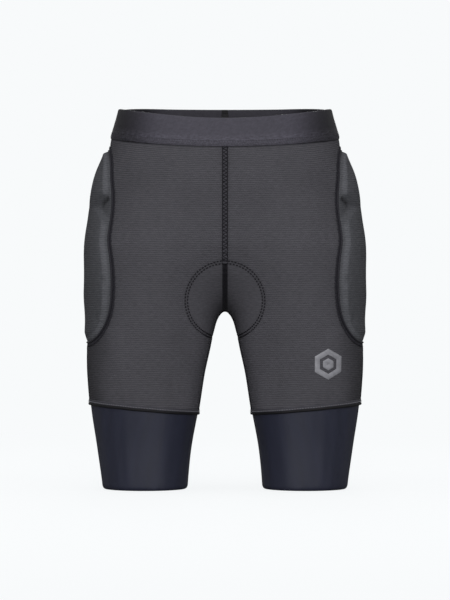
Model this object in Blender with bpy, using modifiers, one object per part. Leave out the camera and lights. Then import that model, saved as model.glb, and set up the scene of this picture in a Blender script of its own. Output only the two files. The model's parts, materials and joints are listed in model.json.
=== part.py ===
"""Padded impact shorts: a close-fitting liner with hip armour, a seat pad and long lycra cuffs.

Metres. +Z is up, +X is the wearer's left, -Y is the front. z = 0 is the hem of the cuffs, and the origin
lies midway between the sides and between front and back.

The fabric follows one smooth body form: a torso tube with a rounded end, joined smoothly to two tapered
legs. Every layer is laid on that form, a named height above it (outwards) or below it (inwards).
"""

import math

import bmesh
import bpy
import numpy as np
from mathutils import Vector

MM = 0.001

# Overall form
WAIST_TOP_Z = 538.5 * MM  # the waistband's top edge at the back
SIDE_DIP = 6.5 * MM  # how much lower that edge is at the sides
FRONT_DIP = 24.5 * MM  # and at the centre front
CROTCH_Z = 252 * MM
SADDLE_Z = 345 * MM  # the torso begins to close towards the crotch here
SADDLE_OUTER_Z = 300 * MM  # how far down the outer side the ring through the crotch comes
CUFF_TOP_OUTER_Z = 124.6 * MM
CUFF_TOP_INNER_Z = 110.6 * MM
FORM_Y = -9.77 * MM  # the form's own centre line, ahead of the middle of the whole

# Fabric
PANEL = 1.2 * MM
SEAM_GAP = 0.5 * MM  # half the gap between two panels that meet
LAYER_GAP = 0.4 * MM
TAPE = 0.5 * MM
TAPE_LIFT = 1.0 * MM  # the fabric's flat facets rise towards the tapes near the crotch
TAPE_WIDTH = 7 * MM

# Waistband: a folded cover round an elastic
BAND_PROUD = 1.2 * MM
COVER = 0.8 * MM
ELASTIC = 1.2 * MM
BAND_FRONT_Z = 474.5 * MM
BAND_RISE = 23.5 * MM  # how much higher its bottom edge is at the centre back
BAND_STITCH_HEIGHT = 9 * MM

# Cuffs: two layers of lycra with a silicone gripper inside the hem
CUFF = 2.0 * MM
GRIPPER = 0.8 * MM
GRIPPER_HEIGHT = 35 * MM

# Hip pads
HIP_PAD_Y = FORM_Y - 3 * MM
HIP_PAD_Z = 340 * MM
HIP_PAD_HALF = 137 * MM  # half its height
HIP_PAD_HALF_WIDTH = 66 * MM
HIP_PAD_NARROWING = 6.5 * MM  # half the difference between its lower and upper half widths
HIP_FOAM = 7.2 * MM
HIP_COVER = 1.0 * MM
HIP_SEAM_RADIUS = 1.5 * MM

# Tailbone pad, inside the back
TAIL_PAD_Z = 408 * MM
TAIL_PAD_HALF = 56 * MM
TAIL_FOAM = 6 * MM

# Seat pad
CARRIER = 0.8 * MM
SEAT_CLEARANCE = 5.5 * MM
SEAT_FOAM = 9 * MM
FRONT_FOAM = 4 * MM
STITCH_RADIUS = 0.6 * MM

# Hips: the fabric bends here, so each leg turns about this line
HIP_AXIS_Z = 330 * MM
HIP_AXIS_Y = FORM_Y
HIP_INNER_RADIUS = 138 * MM
HIP_OUTER_RADIUS = 141 * MM
CLEAR = 300 * MM  # well outside the garment, for the tool solids

# Small parts
LOOP_WIDTH = 9 * MM
LOOP_LENGTH = 38 * MM
LOOP_DEPTH = 4 * MM
RIBBON = 0.9 * MM
LABEL_SIZE = (26 * MM, 40 * MM)
MARK_RADIUS = 21.5 * MM
MARK_PLACE = (144 * MM, 178 * MM)

COLUMNS = 9
LEG_SHARES = np.linspace(0, 1, 7) ** 1.3
SIDES = (("left", 1), ("right", -1))


# ---------------------------------------------------------------- the body form


def through(*points):
    """A smooth curve of a value against height, through (height, value) in millimetres, without overshoot."""
    heights = np.array([p[0] for p in points]) * MM
    values = np.array([p[1] for p in points]) * MM
    steps = np.diff(heights)
    rises = np.diff(values) / steps
    slopes = np.concatenate([rises[:1], np.zeros(len(points) - 2), rises[-1:]])
    for i in range(1, len(points) - 1):
        if rises[i - 1] * rises[i] > 0:
            slopes[i] = 2 * rises[i - 1] * rises[i] / (rises[i - 1] + rises[i])

    def value_at(z):
        z = np.clip(z, heights[0], heights[-1])
        i = np.clip(np.searchsorted(heights, z) - 1, 0, len(steps) - 1)
        t = (z - heights[i]) / steps[i]
        return (
            values[i] * (1 + 2 * t) * (1 - t) ** 2
            + values[i + 1] * t * t * (3 - 2 * t)
            + steps[i] * t * (1 - t) * (slopes[i] * (1 - t) - slopes[i + 1] * t)
        )

    return value_at


torso_half_width = through(
    (300, 182), (340, 182), (380, 179), (430, 172), (470, 161.5), (490, 158.5), (532, 143.5), (540, 141)
)
torso_front = through((360, 102), (400, 106), (450, 109), (490, 106), (540, 99))
torso_back = through((360, 127), (400, 125), (450, 116), (490, 109), (540, 103.5))
leg_centre = through((0, 111.5), (60, 112.8), (115, 112), (160, 110.5), (204, 106), (240, 101.5), (300, 98), (420, 76))
leg_half_width = through(
    (0, 59), (14, 60.2), (60, 65.8), (115, 74.9), (160, 80.3), (204, 85.2), (240, 87.5), (280, 89), (340, 82), (420, 55)
)
leg_front = through((0, 61), (60, 67), (125, 77), (160, 82), (204, 87), (250, 92), (300, 95), (420, 70))
leg_back = through((0, 60), (60, 66), (125, 76), (160, 81), (204, 87), (250, 95), (300, 104), (420, 76))
TORSO_END_Z = 355 * MM
TORSO_END_HEIGHT = 98 * MM
TORSO_POWER = 2.25
DEPTH_CHANGE = 25 * MM
LEGS_BLEND = 10 * MM
HIPS_BLEND = 34 * MM


def smooth_union(a, b, width):
    share = np.clip(0.5 + 0.5 * (b - a) / width, 0, 1)
    return b * (1 - share) + a * share - width * share * (1 - share)


def depth_at(y, front, back):
    """The front depth where y is well ahead of the centre line and the back depth well behind it."""
    return front + (back - front) * (0.5 + 0.5 * np.tanh(y / DEPTH_CHANGE))


def leg_distance(x, y, z):
    half_width = leg_half_width(z)
    half_depth = depth_at(y, leg_front(z), leg_back(z))
    reach = np.hypot((x - leg_centre(z)) / half_width, y / half_depth)
    return (reach - 1) * np.minimum(half_width, half_depth)


def form(points):
    """About the distance of each point from the body form, negative inside it."""
    x, y, z = points[..., 0], points[..., 1] - FORM_Y, points[..., 2]
    half_width = torso_half_width(z)
    half_depth = depth_at(y, torso_front(z), torso_back(z))
    below = np.maximum(TORSO_END_Z - z, 0) / TORSO_END_HEIGHT
    ring = np.abs(x / half_width) ** TORSO_POWER + np.abs(y / half_depth) ** TORSO_POWER
    reach = np.sqrt(ring ** (2 / TORSO_POWER) + below**2)
    torso = (reach - 1) * np.minimum(half_width, half_depth)
    legs = smooth_union(leg_distance(x, y, z), leg_distance(-x, y, z), LEGS_BLEND)
    return smooth_union(torso, legs, HIPS_BLEND)


def gradient(points):
    step = 0.2 * MM
    shifts = np.eye(3) * step
    return np.stack([form(points + s) - form(points - s) for s in shifts], axis=-1) / (2 * step)


def normals_at(points):
    slope = gradient(points)
    return slope / np.linalg.norm(slope, axis=-1, keepdims=True)


def settle(points):
    """Moves each point straight onto the form."""
    for _ in range(14):
        slope = gradient(points)
        points = points - form(points)[..., None] * slope / (slope**2).sum(axis=-1, keepdims=True)
    return points


def settle_level(points):
    """As settle, but each point keeps its height."""
    for _ in range(20):
        slope = gradient(points) * (1, 1, 0)
        points = points - form(points)[..., None] * slope / (slope**2).sum(axis=-1, keepdims=True)
    return points


def raised(points, height):
    """Points on the form, moved a height outwards from it."""
    return points + normals_at(points) * np.asarray(height)[..., None]


def raised_level(points, height):
    """As raised, but sideways only, so that a level edge stays level."""
    outward = normals_at(points) * (1, 1, 0)
    outward /= np.linalg.norm(outward, axis=-1, keepdims=True)
    return points + outward * height


# ---------------------------------------------------------------- lines and sheets on the form


def band_bottom_z(around):
    return BAND_FRONT_Z + BAND_RISE * (1 - (1 - (1 + np.sin(around)) / 2) ** 2)


def band_top_z(around):
    """Level across the back, then falling to the sides and on to the centre front."""
    ahead = np.minimum(np.sin(around), 0)
    behind = np.clip(np.sin(around) / 0.8, 0, 1)
    rise = behind**2 * (3 - 2 * behind)
    return WAIST_TOP_Z - SIDE_DIP * (1 - rise) - (FRONT_DIP - SIDE_DIP) * ahead**2


def cuff_top_z(around):
    return CUFF_TOP_INNER_Z + (CUFF_TOP_OUTER_Z - CUFF_TOP_INNER_Z) * (1 + np.cos(around)) / 2


def band_points(share, around):
    """The waistband: share 0 is its bottom edge and 1 its top; around runs -pi/2 (front), 0 (left side), pi/2."""
    z = band_bottom_z(around) + (band_top_z(around) - band_bottom_z(around)) * share
    depth = np.where(np.sin(around) < 0, torso_front(z), torso_back(z))
    x = torso_half_width(z) * np.cos(around)
    y = FORM_Y + depth * np.sin(around)
    return settle_level(np.stack(np.broadcast_arrays(x, y, z), axis=-1))


def leg_points(share, around):
    """The left leg below the crotch: share 0 is the ring through the crotch and 1 the cuff seam."""
    inner_z = CROTCH_Z + (CUFF_TOP_INNER_Z - CROTCH_Z) * share
    outer_z = SADDLE_OUTER_Z + (CUFF_TOP_OUTER_Z - SADDLE_OUTER_Z) * share
    across = (1 + np.cos(around)) / 2
    z = inner_z + (outer_z - inner_z) * across
    pull = leg_centre(z) - leg_half_width(z)
    inner_x = pull * (1 - (1 - share) ** 6)
    outer_x = leg_centre(z) + leg_half_width(z)
    x = inner_x + (outer_x - inner_x) * across
    depth = np.where(np.sin(around) < 0, leg_front(z), leg_back(z))
    y = FORM_Y + depth * np.sin(around)
    return settle(np.stack(np.broadcast_arrays(x, y, z), axis=-1))


def saddle_points(share, along):
    """The left half of the seat: share 0 is the level line at SADDLE_Z and 1 the ring through the crotch.

    along runs from -1 at the centre front, through 0 at the side, to 1 at the centre back.
    """
    end = np.arccos(-share)
    around = along * end
    width = torso_half_width(SADDLE_Z)
    middle = width * share / (1 + share)
    x = middle + (width - middle) * np.cos(around)
    inner_z = SADDLE_Z - (SADDLE_Z - CROTCH_Z) * share
    outer_z = SADDLE_Z - (SADDLE_Z - SADDLE_OUTER_Z) * share
    z = inner_z + (outer_z - inner_z) * x / width
    front = np.sin(around) < 0
    depth = np.where(front, torso_front(SADDLE_Z), torso_back(SADDLE_Z)) * (1 - share)
    depth = depth + np.where(front, leg_front(z), leg_back(z)) * share
    y = FORM_Y + depth * np.sin(around)
    return settle(np.stack(np.broadcast_arrays(x, y, z), axis=-1))


def torso_points(share, along):
    """The left half between the waistband and the seat: share 0 is the waistband's bottom edge."""
    around = along * math.pi / 2
    z = band_bottom_z(around) + (SADDLE_Z - band_bottom_z(around)) * share
    depth = np.where(along < 0, torso_front(z), torso_back(z))
    x = torso_half_width(z) * np.cos(around)
    y = FORM_Y + depth * np.sin(around)
    return settle_level(np.stack(np.broadcast_arrays(x, y, z), axis=-1))


def panel_rows(along):
    """Rows of points down one panel of the left half, from the waistband to the cuff seam."""
    rows = [torso_points(share, along) for share in np.linspace(0, 1, 5)[:-1]]
    rows += [saddle_points(share, along) for share in np.linspace(0, 1, 8)[:-1]]
    rows += [leg_points(share, along * math.pi) for share in LEG_SHARES]
    return np.array(rows)


def pull_apart(rows, gap):
    """Draws the four edges of a grid of points in by a gap, along the grid."""
    rows = rows.copy()
    for grid in (rows, rows[::-1], rows.swapaxes(0, 1), rows.swapaxes(0, 1)[::-1]):
        step = grid[1] - grid[0]
        grid[0] += step / np.linalg.norm(step, axis=-1, keepdims=True) * gap
    return rows


def centre_line(angles):
    """Points along x = 0, from the front (angle 0) under the crotch (pi/2) to the back (pi)."""
    depth = np.where(np.cos(angles) > 0, torso_front(SADDLE_Z), torso_back(SADDLE_Z))
    y = FORM_Y - depth * np.cos(angles)
    z = SADDLE_Z - (SADDLE_Z - CROTCH_Z) * np.sin(angles)
    return settle(np.stack([0 * y, y, z], axis=-1))


def walk(starts, sideways, distances):
    """From each start, a walk over the form that sets out sideways and turns only as the form does."""
    paths = [starts]
    here, heading = starts, sideways
    covered = 0 * distances[..., :1]
    for i in range(distances.shape[-1]):
        step = distances[..., i : i + 1] - covered
        covered = distances[..., i : i + 1]
        for _ in range(4):
            there = settle(here + heading * step / 4)
            move = there - here
            heading = move / np.maximum(np.linalg.norm(move, axis=-1, keepdims=True), 1e-9)
            here = there
        paths.append(here)
    return np.stack(paths, axis=1)


def fan(starts, half_widths, columns):
    """A grid across x = 0 whose rows run a half width over the form to each side of their starts."""
    shares = np.linspace(0, 1, columns + 1)[1:]
    left = walk(starts, np.broadcast_to((1.0, 0, 0), starts.shape), half_widths[:, None] * shares)
    right = left * (-1, 1, 1)
    return np.concatenate([right[:, :0:-1], left], axis=1)


# ---------------------------------------------------------------- making objects


def clear_scene():
    for old in list(bpy.data.objects):
        bpy.data.objects.remove(old, do_unlink=True)


def new_collection(name):
    collection = bpy.data.collections.new(name)
    bpy.context.scene.collection.children.link(collection)
    return collection


def material(name, colour, roughness, metallic=0.0):
    made = bpy.data.materials.new(name)
    made.use_nodes = True
    shader = made.node_tree.nodes["Principled BSDF"]
    shader.inputs["Base Color"].default_value = (*colour, 1)
    shader.inputs["Roughness"].default_value = roughness
    shader.inputs["Metallic"].default_value = metallic
    made.diffuse_color = (*colour, 1)
    return made


def new_object(name, mesh, look, collection):
    made = bpy.data.objects.new(name, mesh)
    collection.objects.link(made)
    if look:
        mesh.materials.append(look)
    return made


def grid_mesh(name, grid, ring=False, tube=False):
    """A surface through a grid of points: a ring joins its last column to its first, a tube also its rows."""
    rows, columns = grid.shape[:2]
    built = bmesh.new()
    corners = [[built.verts.new(Vector(grid[r, c])) for c in range(columns)] for r in range(rows)]
    for r in range(rows if tube else rows - 1):
        below = (r + 1) % rows
        for c in range(columns if ring else columns - 1):
            d = (c + 1) % columns
            built.faces.new((corners[r][c], corners[below][c], corners[below][d], corners[r][d]))
    mesh = bpy.data.meshes.new(name)
    built.to_mesh(mesh)
    built.free()
    mesh.shade_smooth()
    return mesh


def thicken(made, thickness):
    """Gives an open surface its wall, on the side away from its normals."""
    solid = made.modifiers.new("Wall", "SOLIDIFY")
    solid.thickness = thickness
    solid.offset = -1
    return made


def sheet(name, grid, thickness, look, collection, ring=False):
    return thicken(new_object(name, grid_mesh(name, grid, ring), look, collection), thickness)


def cut(made, cutter, name="Cut"):
    boolean = made.modifiers.new(name, "BOOLEAN")
    boolean.operation = "DIFFERENCE"
    boolean.solver = "EXACT"
    boolean.object = cutter


def outline_disc(name, base, outline, profile, look, collection):
    """A closed pad on the form: a profile of (share of the way out, height) swept round an outline.

    outline is a ring of points in the plane of base, which turns them into points on the form.
    """
    middle = outline.mean(axis=0)
    rings = []
    for share, height in profile:
        flat = middle + (outline - middle) * share
        rings.append(raised(base(flat), np.full(len(flat), height)))
    built = bmesh.new()
    loops = [[built.verts.new(Vector(p)) for p in ring] for ring in rings]
    count = len(outline)
    for upper, lower in zip(loops, loops[1:]):
        for i in range(count):
            j = (i + 1) % count
            built.faces.new((upper[i], lower[i], lower[j], upper[j]))
    for loop, (_, height) in ((loops[0], profile[0]), (loops[-1], profile[-1])):
        pole = built.verts.new(Vector(raised(base(middle[None]), np.array([height]))[0]))
        for i in range(count):
            built.faces.new((pole, loop[i], loop[(i + 1) % count]))
    bmesh.ops.recalc_face_normals(built, faces=built.faces)
    mesh = bpy.data.meshes.new(name)
    built.to_mesh(mesh)
    built.free()
    mesh.shade_smooth()
    mesh.set_sharp_from_angle(angle=math.radians(50))
    return new_object(name, mesh, look, collection)


def block_on_grid(name, grid, low, high, look, collection):
    """A closed pad between two heights over a grid of points, its top drawn in at the edges."""
    rows, columns = grid.shape[:2]
    heights = np.full((rows, columns), high)
    heights[0, :] = heights[-1, :] = heights[:, 0] = heights[:, -1] = low + (high - low) * 0.35
    outer = raised(grid, np.full((rows, columns), low))
    inner = raised(grid, heights)
    built = bmesh.new()
    layers = [[[built.verts.new(Vector(p)) for p in row] for row in layer] for layer in (outer, inner)]
    for k, layer in enumerate(layers):
        for r in range(rows - 1):
            for c in range(columns - 1):
                face = [layer[r][c], layer[r + 1][c], layer[r + 1][c + 1], layer[r][c + 1]]
                built.faces.new(face[::-1] if k else face)
    rim = [(0, c) for c in range(columns - 1)] + [(r, columns - 1) for r in range(rows - 1)]
    rim += [(rows - 1, c) for c in range(columns - 1, 0, -1)] + [(r, 0) for r in range(rows - 1, 0, -1)]
    for (r, c), (s, d) in zip(rim, rim[1:] + rim[:1]):
        built.faces.new((layers[0][r][c], layers[0][s][d], layers[1][s][d], layers[1][r][c]))
    bmesh.ops.recalc_face_normals(built, faces=built.faces)
    mesh = bpy.data.meshes.new(name)
    built.to_mesh(mesh)
    built.free()
    mesh.shade_smooth()
    return new_object(name, mesh, look, collection)


def cord(name, points, radius, look, collection):
    """A closed loop of round cord through the points."""
    curve = bpy.data.curves.new(name, "CURVE")
    curve.dimensions = "3D"
    curve.bevel_depth = radius
    curve.bevel_resolution = 0
    spline = curve.splines.new("POLY")
    spline.points.add(len(points) - 1)
    for point, place in zip(spline.points, points):
        point.co = (*place, 1)
    spline.use_cyclic_u = True
    curve.materials.append(look)
    made = bpy.data.objects.new(name, curve)
    collection.objects.link(made)
    return made


def prism(name, ring, travel, collection):
    """A hidden tool solid: a flat ring of points extruded along travel."""
    built = bmesh.new()
    face = built.faces.new([built.verts.new(Vector(p)) for p in ring])
    extruded = bmesh.ops.extrude_face_region(built, geom=[face])
    moved = [item for item in extruded["geom"] if isinstance(item, bmesh.types.BMVert)]
    bmesh.ops.translate(built, verts=moved, vec=Vector(travel))
    bmesh.ops.recalc_face_normals(built, faces=built.faces)
    mesh = bpy.data.meshes.new(name)
    built.to_mesh(mesh)
    built.free()
    made = new_object(name, mesh, None, collection)
    made.hide_render = True
    made.display_type = "WIRE"
    return made


def intersect(made, keeper, name="Keep"):
    cut(made, keeper, name)
    made.modifiers[name].operation = "INTERSECT"


def on_side(grid, side):
    """A left grid as it is, or mirrored to the right with its faces still pointing out."""
    return grid if side > 0 else grid[:, ::-1] * (-1, 1, 1)


def hang_on(pivot, pieces):
    """Gives pieces the pivot as parent and origin, without moving them."""
    for piece in pieces:
        piece.data.transform(pivot.matrix_world.inverted())
        piece.parent = pivot


def pivot_at(name, place, collection):
    pivot = bpy.data.objects.new(name, None)
    pivot.location = place
    pivot.empty_display_size = 0.03
    collection.objects.link(pivot)
    bpy.context.view_layer.update()
    return pivot


# ---------------------------------------------------------------- outlines


def ring_angles(count):
    return np.arange(count) * 2 * math.pi / count


def superellipse(angles, power):
    """Rounded-square coordinates in -1..1 at each angle."""
    across = np.sign(np.cos(angles)) * np.abs(np.cos(angles)) ** (2 / power)
    up = np.sign(np.sin(angles)) * np.abs(np.sin(angles)) ** (2 / power)
    return across, up


def hip_outline(count=32):
    """(y, z) round a hip pad: blunt and broad below its middle, rounder and narrower above it."""
    angles = ring_angles(count)
    across, up = superellipse(angles, np.where(np.sin(angles) > 0, 2.6, 3.6))
    half_width = HIP_PAD_HALF_WIDTH - HIP_PAD_NARROWING * np.tanh(5 * up)
    return np.stack([HIP_PAD_Y + half_width * across, HIP_PAD_Z + HIP_PAD_HALF * up], axis=-1)


def tail_outline(count=24):
    """(x, z) round the tailbone pad: an egg, wider above."""
    angles = ring_angles(count)
    across, up = superellipse(angles, 2.3)
    return np.stack([(44 + 5 * up) * MM * across, TAIL_PAD_Z + TAIL_PAD_HALF * up], axis=-1)


def hexagon(radius, middle, per_side=4):
    angles = ring_angles(7)[:7] * 7 / 6 + math.pi / 6
    corners = np.stack([np.cos(angles), np.sin(angles)], axis=-1) * radius
    shares = (np.arange(per_side) / per_side)[:, None]
    sides = [a + (b - a) * shares for a, b in zip(corners, corners[1:])]
    return np.array(middle) + np.concatenate(sides)


def between(inside, outside):
    """The points where straight lines from inside the form to outside it cross its surface."""
    for _ in range(40):
        middle = (inside + outside) / 2
        within = (form(middle) < 0)[..., None]
        inside = np.where(within, middle, inside)
        outside = np.where(within, outside, middle)
    return inside


def side_base(side):
    """Onto the outer side of a leg and hip, from (y, z)."""

    def base(flat):
        start = np.stack([0 * flat[:, 0], flat[:, 0], flat[:, 1]], axis=-1)
        return between(start + (110 * MM, 0, 0), start + (250 * MM, 0, 0)) * (side, 1, 1)

    return base


def face_base(toward):
    """Onto the front (-1) or the back (1), from (x, z)."""

    def base(flat):
        start = np.stack([flat[:, 0], np.full(len(flat), FORM_Y), flat[:, 1]], axis=-1)
        return between(start, start + (0, toward * 200 * MM, 0))

    return base


# ---------------------------------------------------------------- the pieces


def make_materials():
    return {
        "mesh": material("charcoal_mesh", (0.058, 0.057, 0.063), 0.85),
        "satin": material("waistband_satin", (0.06, 0.06, 0.07), 0.55),
        "elastic": material("white_elastic", (0.55, 0.55, 0.53), 0.8),
        "lycra": material("navy_lycra", (0.026, 0.028, 0.042), 0.5),
        "thread": material("seam_thread", (0.025, 0.025, 0.029), 0.75),
        "cover": material("pad_cover", (0.048, 0.047, 0.053), 0.8),
        "foam": material("orange_foam", (0.75, 0.25, 0.04), 0.7),
        "seat": material("seat_foam", (0.12, 0.13, 0.15), 0.85),
        "carrier": material("seat_carrier", (0.05, 0.05, 0.055), 0.8),
        "silicone": material("clear_silicone", (0.2, 0.2, 0.21), 0.35),
        "mark": material("reflective_mark", (0.24, 0.24, 0.25), 0.4),
        "label": material("label_satin", (0.75, 0.75, 0.73), 0.5),
    }


def make_waistband(looks, parts):
    around = ring_angles(40) - math.pi / 2
    half = np.where(np.cos(around) >= 0, around, math.pi - around)
    mirror = np.where(np.cos(around) >= 0, 1, -1)[:, None] * (1, 0, 0) + (0, 1, 1)

    def ring(share, height):
        return raised_level(band_points(share, half), height) * mirror

    inner = BAND_PROUD - 2 * COVER - 2 * LAYER_GAP - ELASTIC
    cover = [ring(share, inner) for share in (0, 0.5, 1)]
    cover += [ring(share, BAND_PROUD) for share in (1, 0.5, 0)]
    sheet("waistband_cover", np.array(cover), COVER, looks["satin"], parts, ring=True)
    middle = BAND_PROUD - COVER - LAYER_GAP
    elastic = [ring(share, middle) for share in (0.94, 0.5, 0.03)]
    sheet("waistband_elastic", np.array(elastic), ELASTIC, looks["elastic"], parts, ring=True)
    stitch = [ring(share, BAND_PROUD + LAYER_GAP + TAPE) for share in (0.23, 0.02)]
    sheet("waist_seam", np.array(stitch), TAPE, looks["thread"], parts, ring=True)


def make_panels(side_name, side, pelvis_keeper, leg_keeper, hip_cutter, looks, parts):
    """The front and back panel of one side, each as its upper part and its thigh part."""
    thighs = []
    for face, ends in (("front", (-1, 0)), ("back", (0, 1))):
        rows = panel_rows(np.linspace(*ends, COLUMNS + 1))
        grid = on_side(pull_apart(rows, SEAM_GAP), side)
        panel = sheet(f"{side_name}_{face}_panel", grid, PANEL, looks["mesh"], parts)
        cut(panel, hip_cutter, "Pad opening")
        intersect(panel, pelvis_keeper)
        thigh = sheet(f"{side_name}_thigh_{face}_panel", grid, PANEL, looks["mesh"], parts)
        cut(thigh, leg_keeper, "Hip line")
        thighs.append(thigh)
    return thighs


def leg_line(along):
    """The line between the panels down the leg: 0 is the outer side and 1 the inner."""
    middles = panel_rows(np.array([along]))[-len(LEG_SHARES) + 1 :, 0]
    middles[-1] += (middles[-2] - middles[-1]) * 0.03
    return middles


def make_tape(name, middles, sideways, side, looks, parts):
    """A strip of seam tape along a line on the form, lying just above the fabric."""
    across = np.array(sideways) * TAPE_WIDTH / 2
    grid = np.stack([middles - across, middles, middles + across], axis=1)
    grid = raised(settle(grid), np.full(grid.shape[:2], TAPE_LIFT + TAPE))
    return sheet(name, on_side(grid, side), TAPE, looks["thread"], parts)


def make_centre_seams(looks, parts):
    for name, end in (("centre_front_seam", -1), ("centre_back_seam", 1)):
        rows = panel_rows(np.array([end]))[:, 0]
        middles = rows[: -len(LEG_SHARES)]
        middles[0] += (middles[1] - middles[0]) * 0.06
        make_tape(name, middles, (-end, 0, 0), 1, looks, parts)


def make_inseam(side_name, side, pelvis_keeper, leg_keeper, looks, parts):
    middles = leg_line(1)
    upper = make_tape(f"{side_name}_inseam_upper", middles, (0, -1, 0), side, looks, parts)
    intersect(upper, pelvis_keeper)
    lower = make_tape(f"{side_name}_inseam", middles, (0, -1, 0), side, looks, parts)
    cut(lower, leg_keeper, "Hip line")
    return lower


def make_side_seam(side_name, side, leg_keeper, looks, parts):
    seam = make_tape(f"{side_name}_side_seam", leg_line(0), (0, 1, 0), side, looks, parts)
    cut(seam, leg_keeper, "Hip line")
    return seam


def make_cuff(side_name, side, looks, parts):
    around = ring_angles(28) - math.pi

    def ring(share, height):
        z = cuff_top_z(around) * (1 - share)
        depth = np.where(np.sin(around) < 0, leg_front(z), leg_back(z))
        x = leg_centre(z) + leg_half_width(z) * np.cos(around)
        points = np.stack([x, FORM_Y + depth * np.sin(around), z], axis=-1)
        return raised_level(settle_level(points), height)

    def turned(rows):
        return on_side(np.array(rows), side)

    top = SEAM_GAP / CUFF_TOP_INNER_Z
    shares = (top, 0.3, 0.62, 0.88, 1)
    cuff = [ring(share, 0) for share in shares] + [ring(share, -CUFF) for share in shares[::-1]]
    mesh = grid_mesh(f"{side_name}_cuff", turned(cuff), ring=True, tube=True)
    made = [new_object(f"{side_name}_cuff", mesh, looks["lycra"], parts)]
    low = GRIPPER_HEIGHT / CUFF_TOP_INNER_Z
    grip = [ring(share, -CUFF - LAYER_GAP) for share in (1 - low, 1 - low / 2, 0.985)]
    made.append(sheet(f"{side_name}_cuff_gripper", turned(grip), GRIPPER, looks["silicone"], parts, ring=True))
    band = [ring(share, TAPE_LIFT + TAPE + LAYER_GAP + TAPE) for share in (-0.03, 0.03)]
    made.append(sheet(f"{side_name}_cuff_seam", turned(band), TAPE, looks["thread"], parts, ring=True))
    return made


def make_hip_pad(side_name, side, looks, parts):
    base = side_base(side)
    outline = hip_outline()
    flat = (0.25, 0.5, 0.7)
    top = LAYER_GAP + HIP_FOAM
    foam = [(share, top) for share in flat]
    foam += [(0.84, top - 1.2 * MM), (0.92, top / 2), (0.93, LAYER_GAP)]
    foam += [(share, LAYER_GAP) for share in flat[::-1]]
    outline_disc(f"{side_name}_hip_pad_foam", base, outline, foam, looks["foam"], parts)
    under = top + 2 * LAYER_GAP
    over = under + HIP_COVER
    cover = [(share, over) for share in flat]
    cover += [(0.86, over - 1.2 * MM), (0.955, over / 2), (0.97, LAYER_GAP), (0.95, LAYER_GAP)]
    cover += [(0.938, under / 2), (0.85, under - 0.9 * MM)]
    cover += [(share, under) for share in flat[::-1]]
    outline_disc(f"{side_name}_hip_pad_cover", base, outline, cover, looks["cover"], parts)
    behind = -2 * LAYER_GAP
    backing = [(share, behind) for share in (*flat, 0.96)]
    backing += [(share, behind - PANEL) for share in (0.96, *flat[::-1])]
    outline_disc(f"{side_name}_hip_pad_backing", base, outline, backing, looks["mesh"], parts)
    line = raised(base(outline), np.full(len(outline), 2 * LAYER_GAP + HIP_SEAM_RADIUS))
    cord(f"{side_name}_hip_pad_seam", line, HIP_SEAM_RADIUS, looks["thread"], parts)


def make_tailbone_pad(looks, parts):
    base = face_base(1)
    outline = tail_outline()
    near = -PANEL - 1.6 * MM
    far = near - TAIL_FOAM
    foam = [(0.3, near), (0.65, near), (0.9, near), (0.86, far + 1.5 * MM), (0.65, far), (0.3, far)]
    outline_disc("tailbone_foam", base, outline, foam, looks["foam"], parts)
    under = far - LAYER_GAP
    over = under - CARRIER
    pocket = [(0.3, under), (0.65, under), (0.88, far + 0.6 * MM), (0.94, near), (1.0, near)]
    pocket += [(1.0, near - CARRIER), (0.965, near - CARRIER), (0.9, far - 0.8 * MM), (0.65, over), (0.3, over)]
    outline_disc("tailbone_pocket", base, outline, pocket, looks["mesh"], parts)
    height = TAPE_LIFT + TAPE + LAYER_GAP + STITCH_RADIUS
    line = raised(base(outline), np.full(len(outline), height))
    cord("tailbone_stitching", line, STITCH_RADIUS, looks["thread"], parts)


def seat_grid(rows):
    """Points over the seat pad, front to back and right to left: wider behind, with rounded ends."""
    share = np.linspace(0, 1, rows)
    angles = math.radians(20) + math.radians(156) * share
    widths = (50 + 22 * share) * MM * (1 - np.abs(2 * share - 1) ** 5 * 0.45)
    return fan(centre_line(angles), widths, 6)


def make_seat_pad(looks, parts):
    """The carrier and its foams, laid inside the crotch, and the stitch line that shows outside."""
    grid = seat_grid(15)
    far = -PANEL - SEAT_CLEARANCE
    carrier = raised(grid, np.full(grid.shape[:2], far))
    sheet("chamois_carrier", carrier, CARRIER, looks["carrier"], parts)
    low = far - CARRIER - 0.6 * MM
    for name, columns in (("chamois_foam_right", slice(1, 6)), ("chamois_foam_left", slice(7, 12))):
        block_on_grid(name, grid[5:14, columns], low, low - SEAT_FOAM, looks["seat"], parts)
    block_on_grid("chamois_front_foam", grid[1:4, 3:10], low, low - FRONT_FOAM, looks["seat"], parts)
    height = TAPE_LIFT + TAPE + 2 * LAYER_GAP + STITCH_RADIUS
    fine = seat_grid(29)
    edge = np.concatenate([fine[0], fine[1:-1, -1], fine[-1, ::-1], fine[-2:0:-1, 0]])
    cord("chamois_stitching", raised(edge, np.full(len(edge), height)), STITCH_RADIUS, looks["thread"], parts)


def make_mark(looks, parts):
    outline = hexagon(MARK_RADIUS, MARK_PLACE)
    low = LAYER_GAP
    high = low + TAPE
    profile = [(0.35, low), (0.7, low), (1.0, low), (1.0, high), (0.7, high), (0.35, high)]
    return outline_disc("left_thigh_mark", face_base(-1), outline, profile, looks["mark"], parts)


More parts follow.
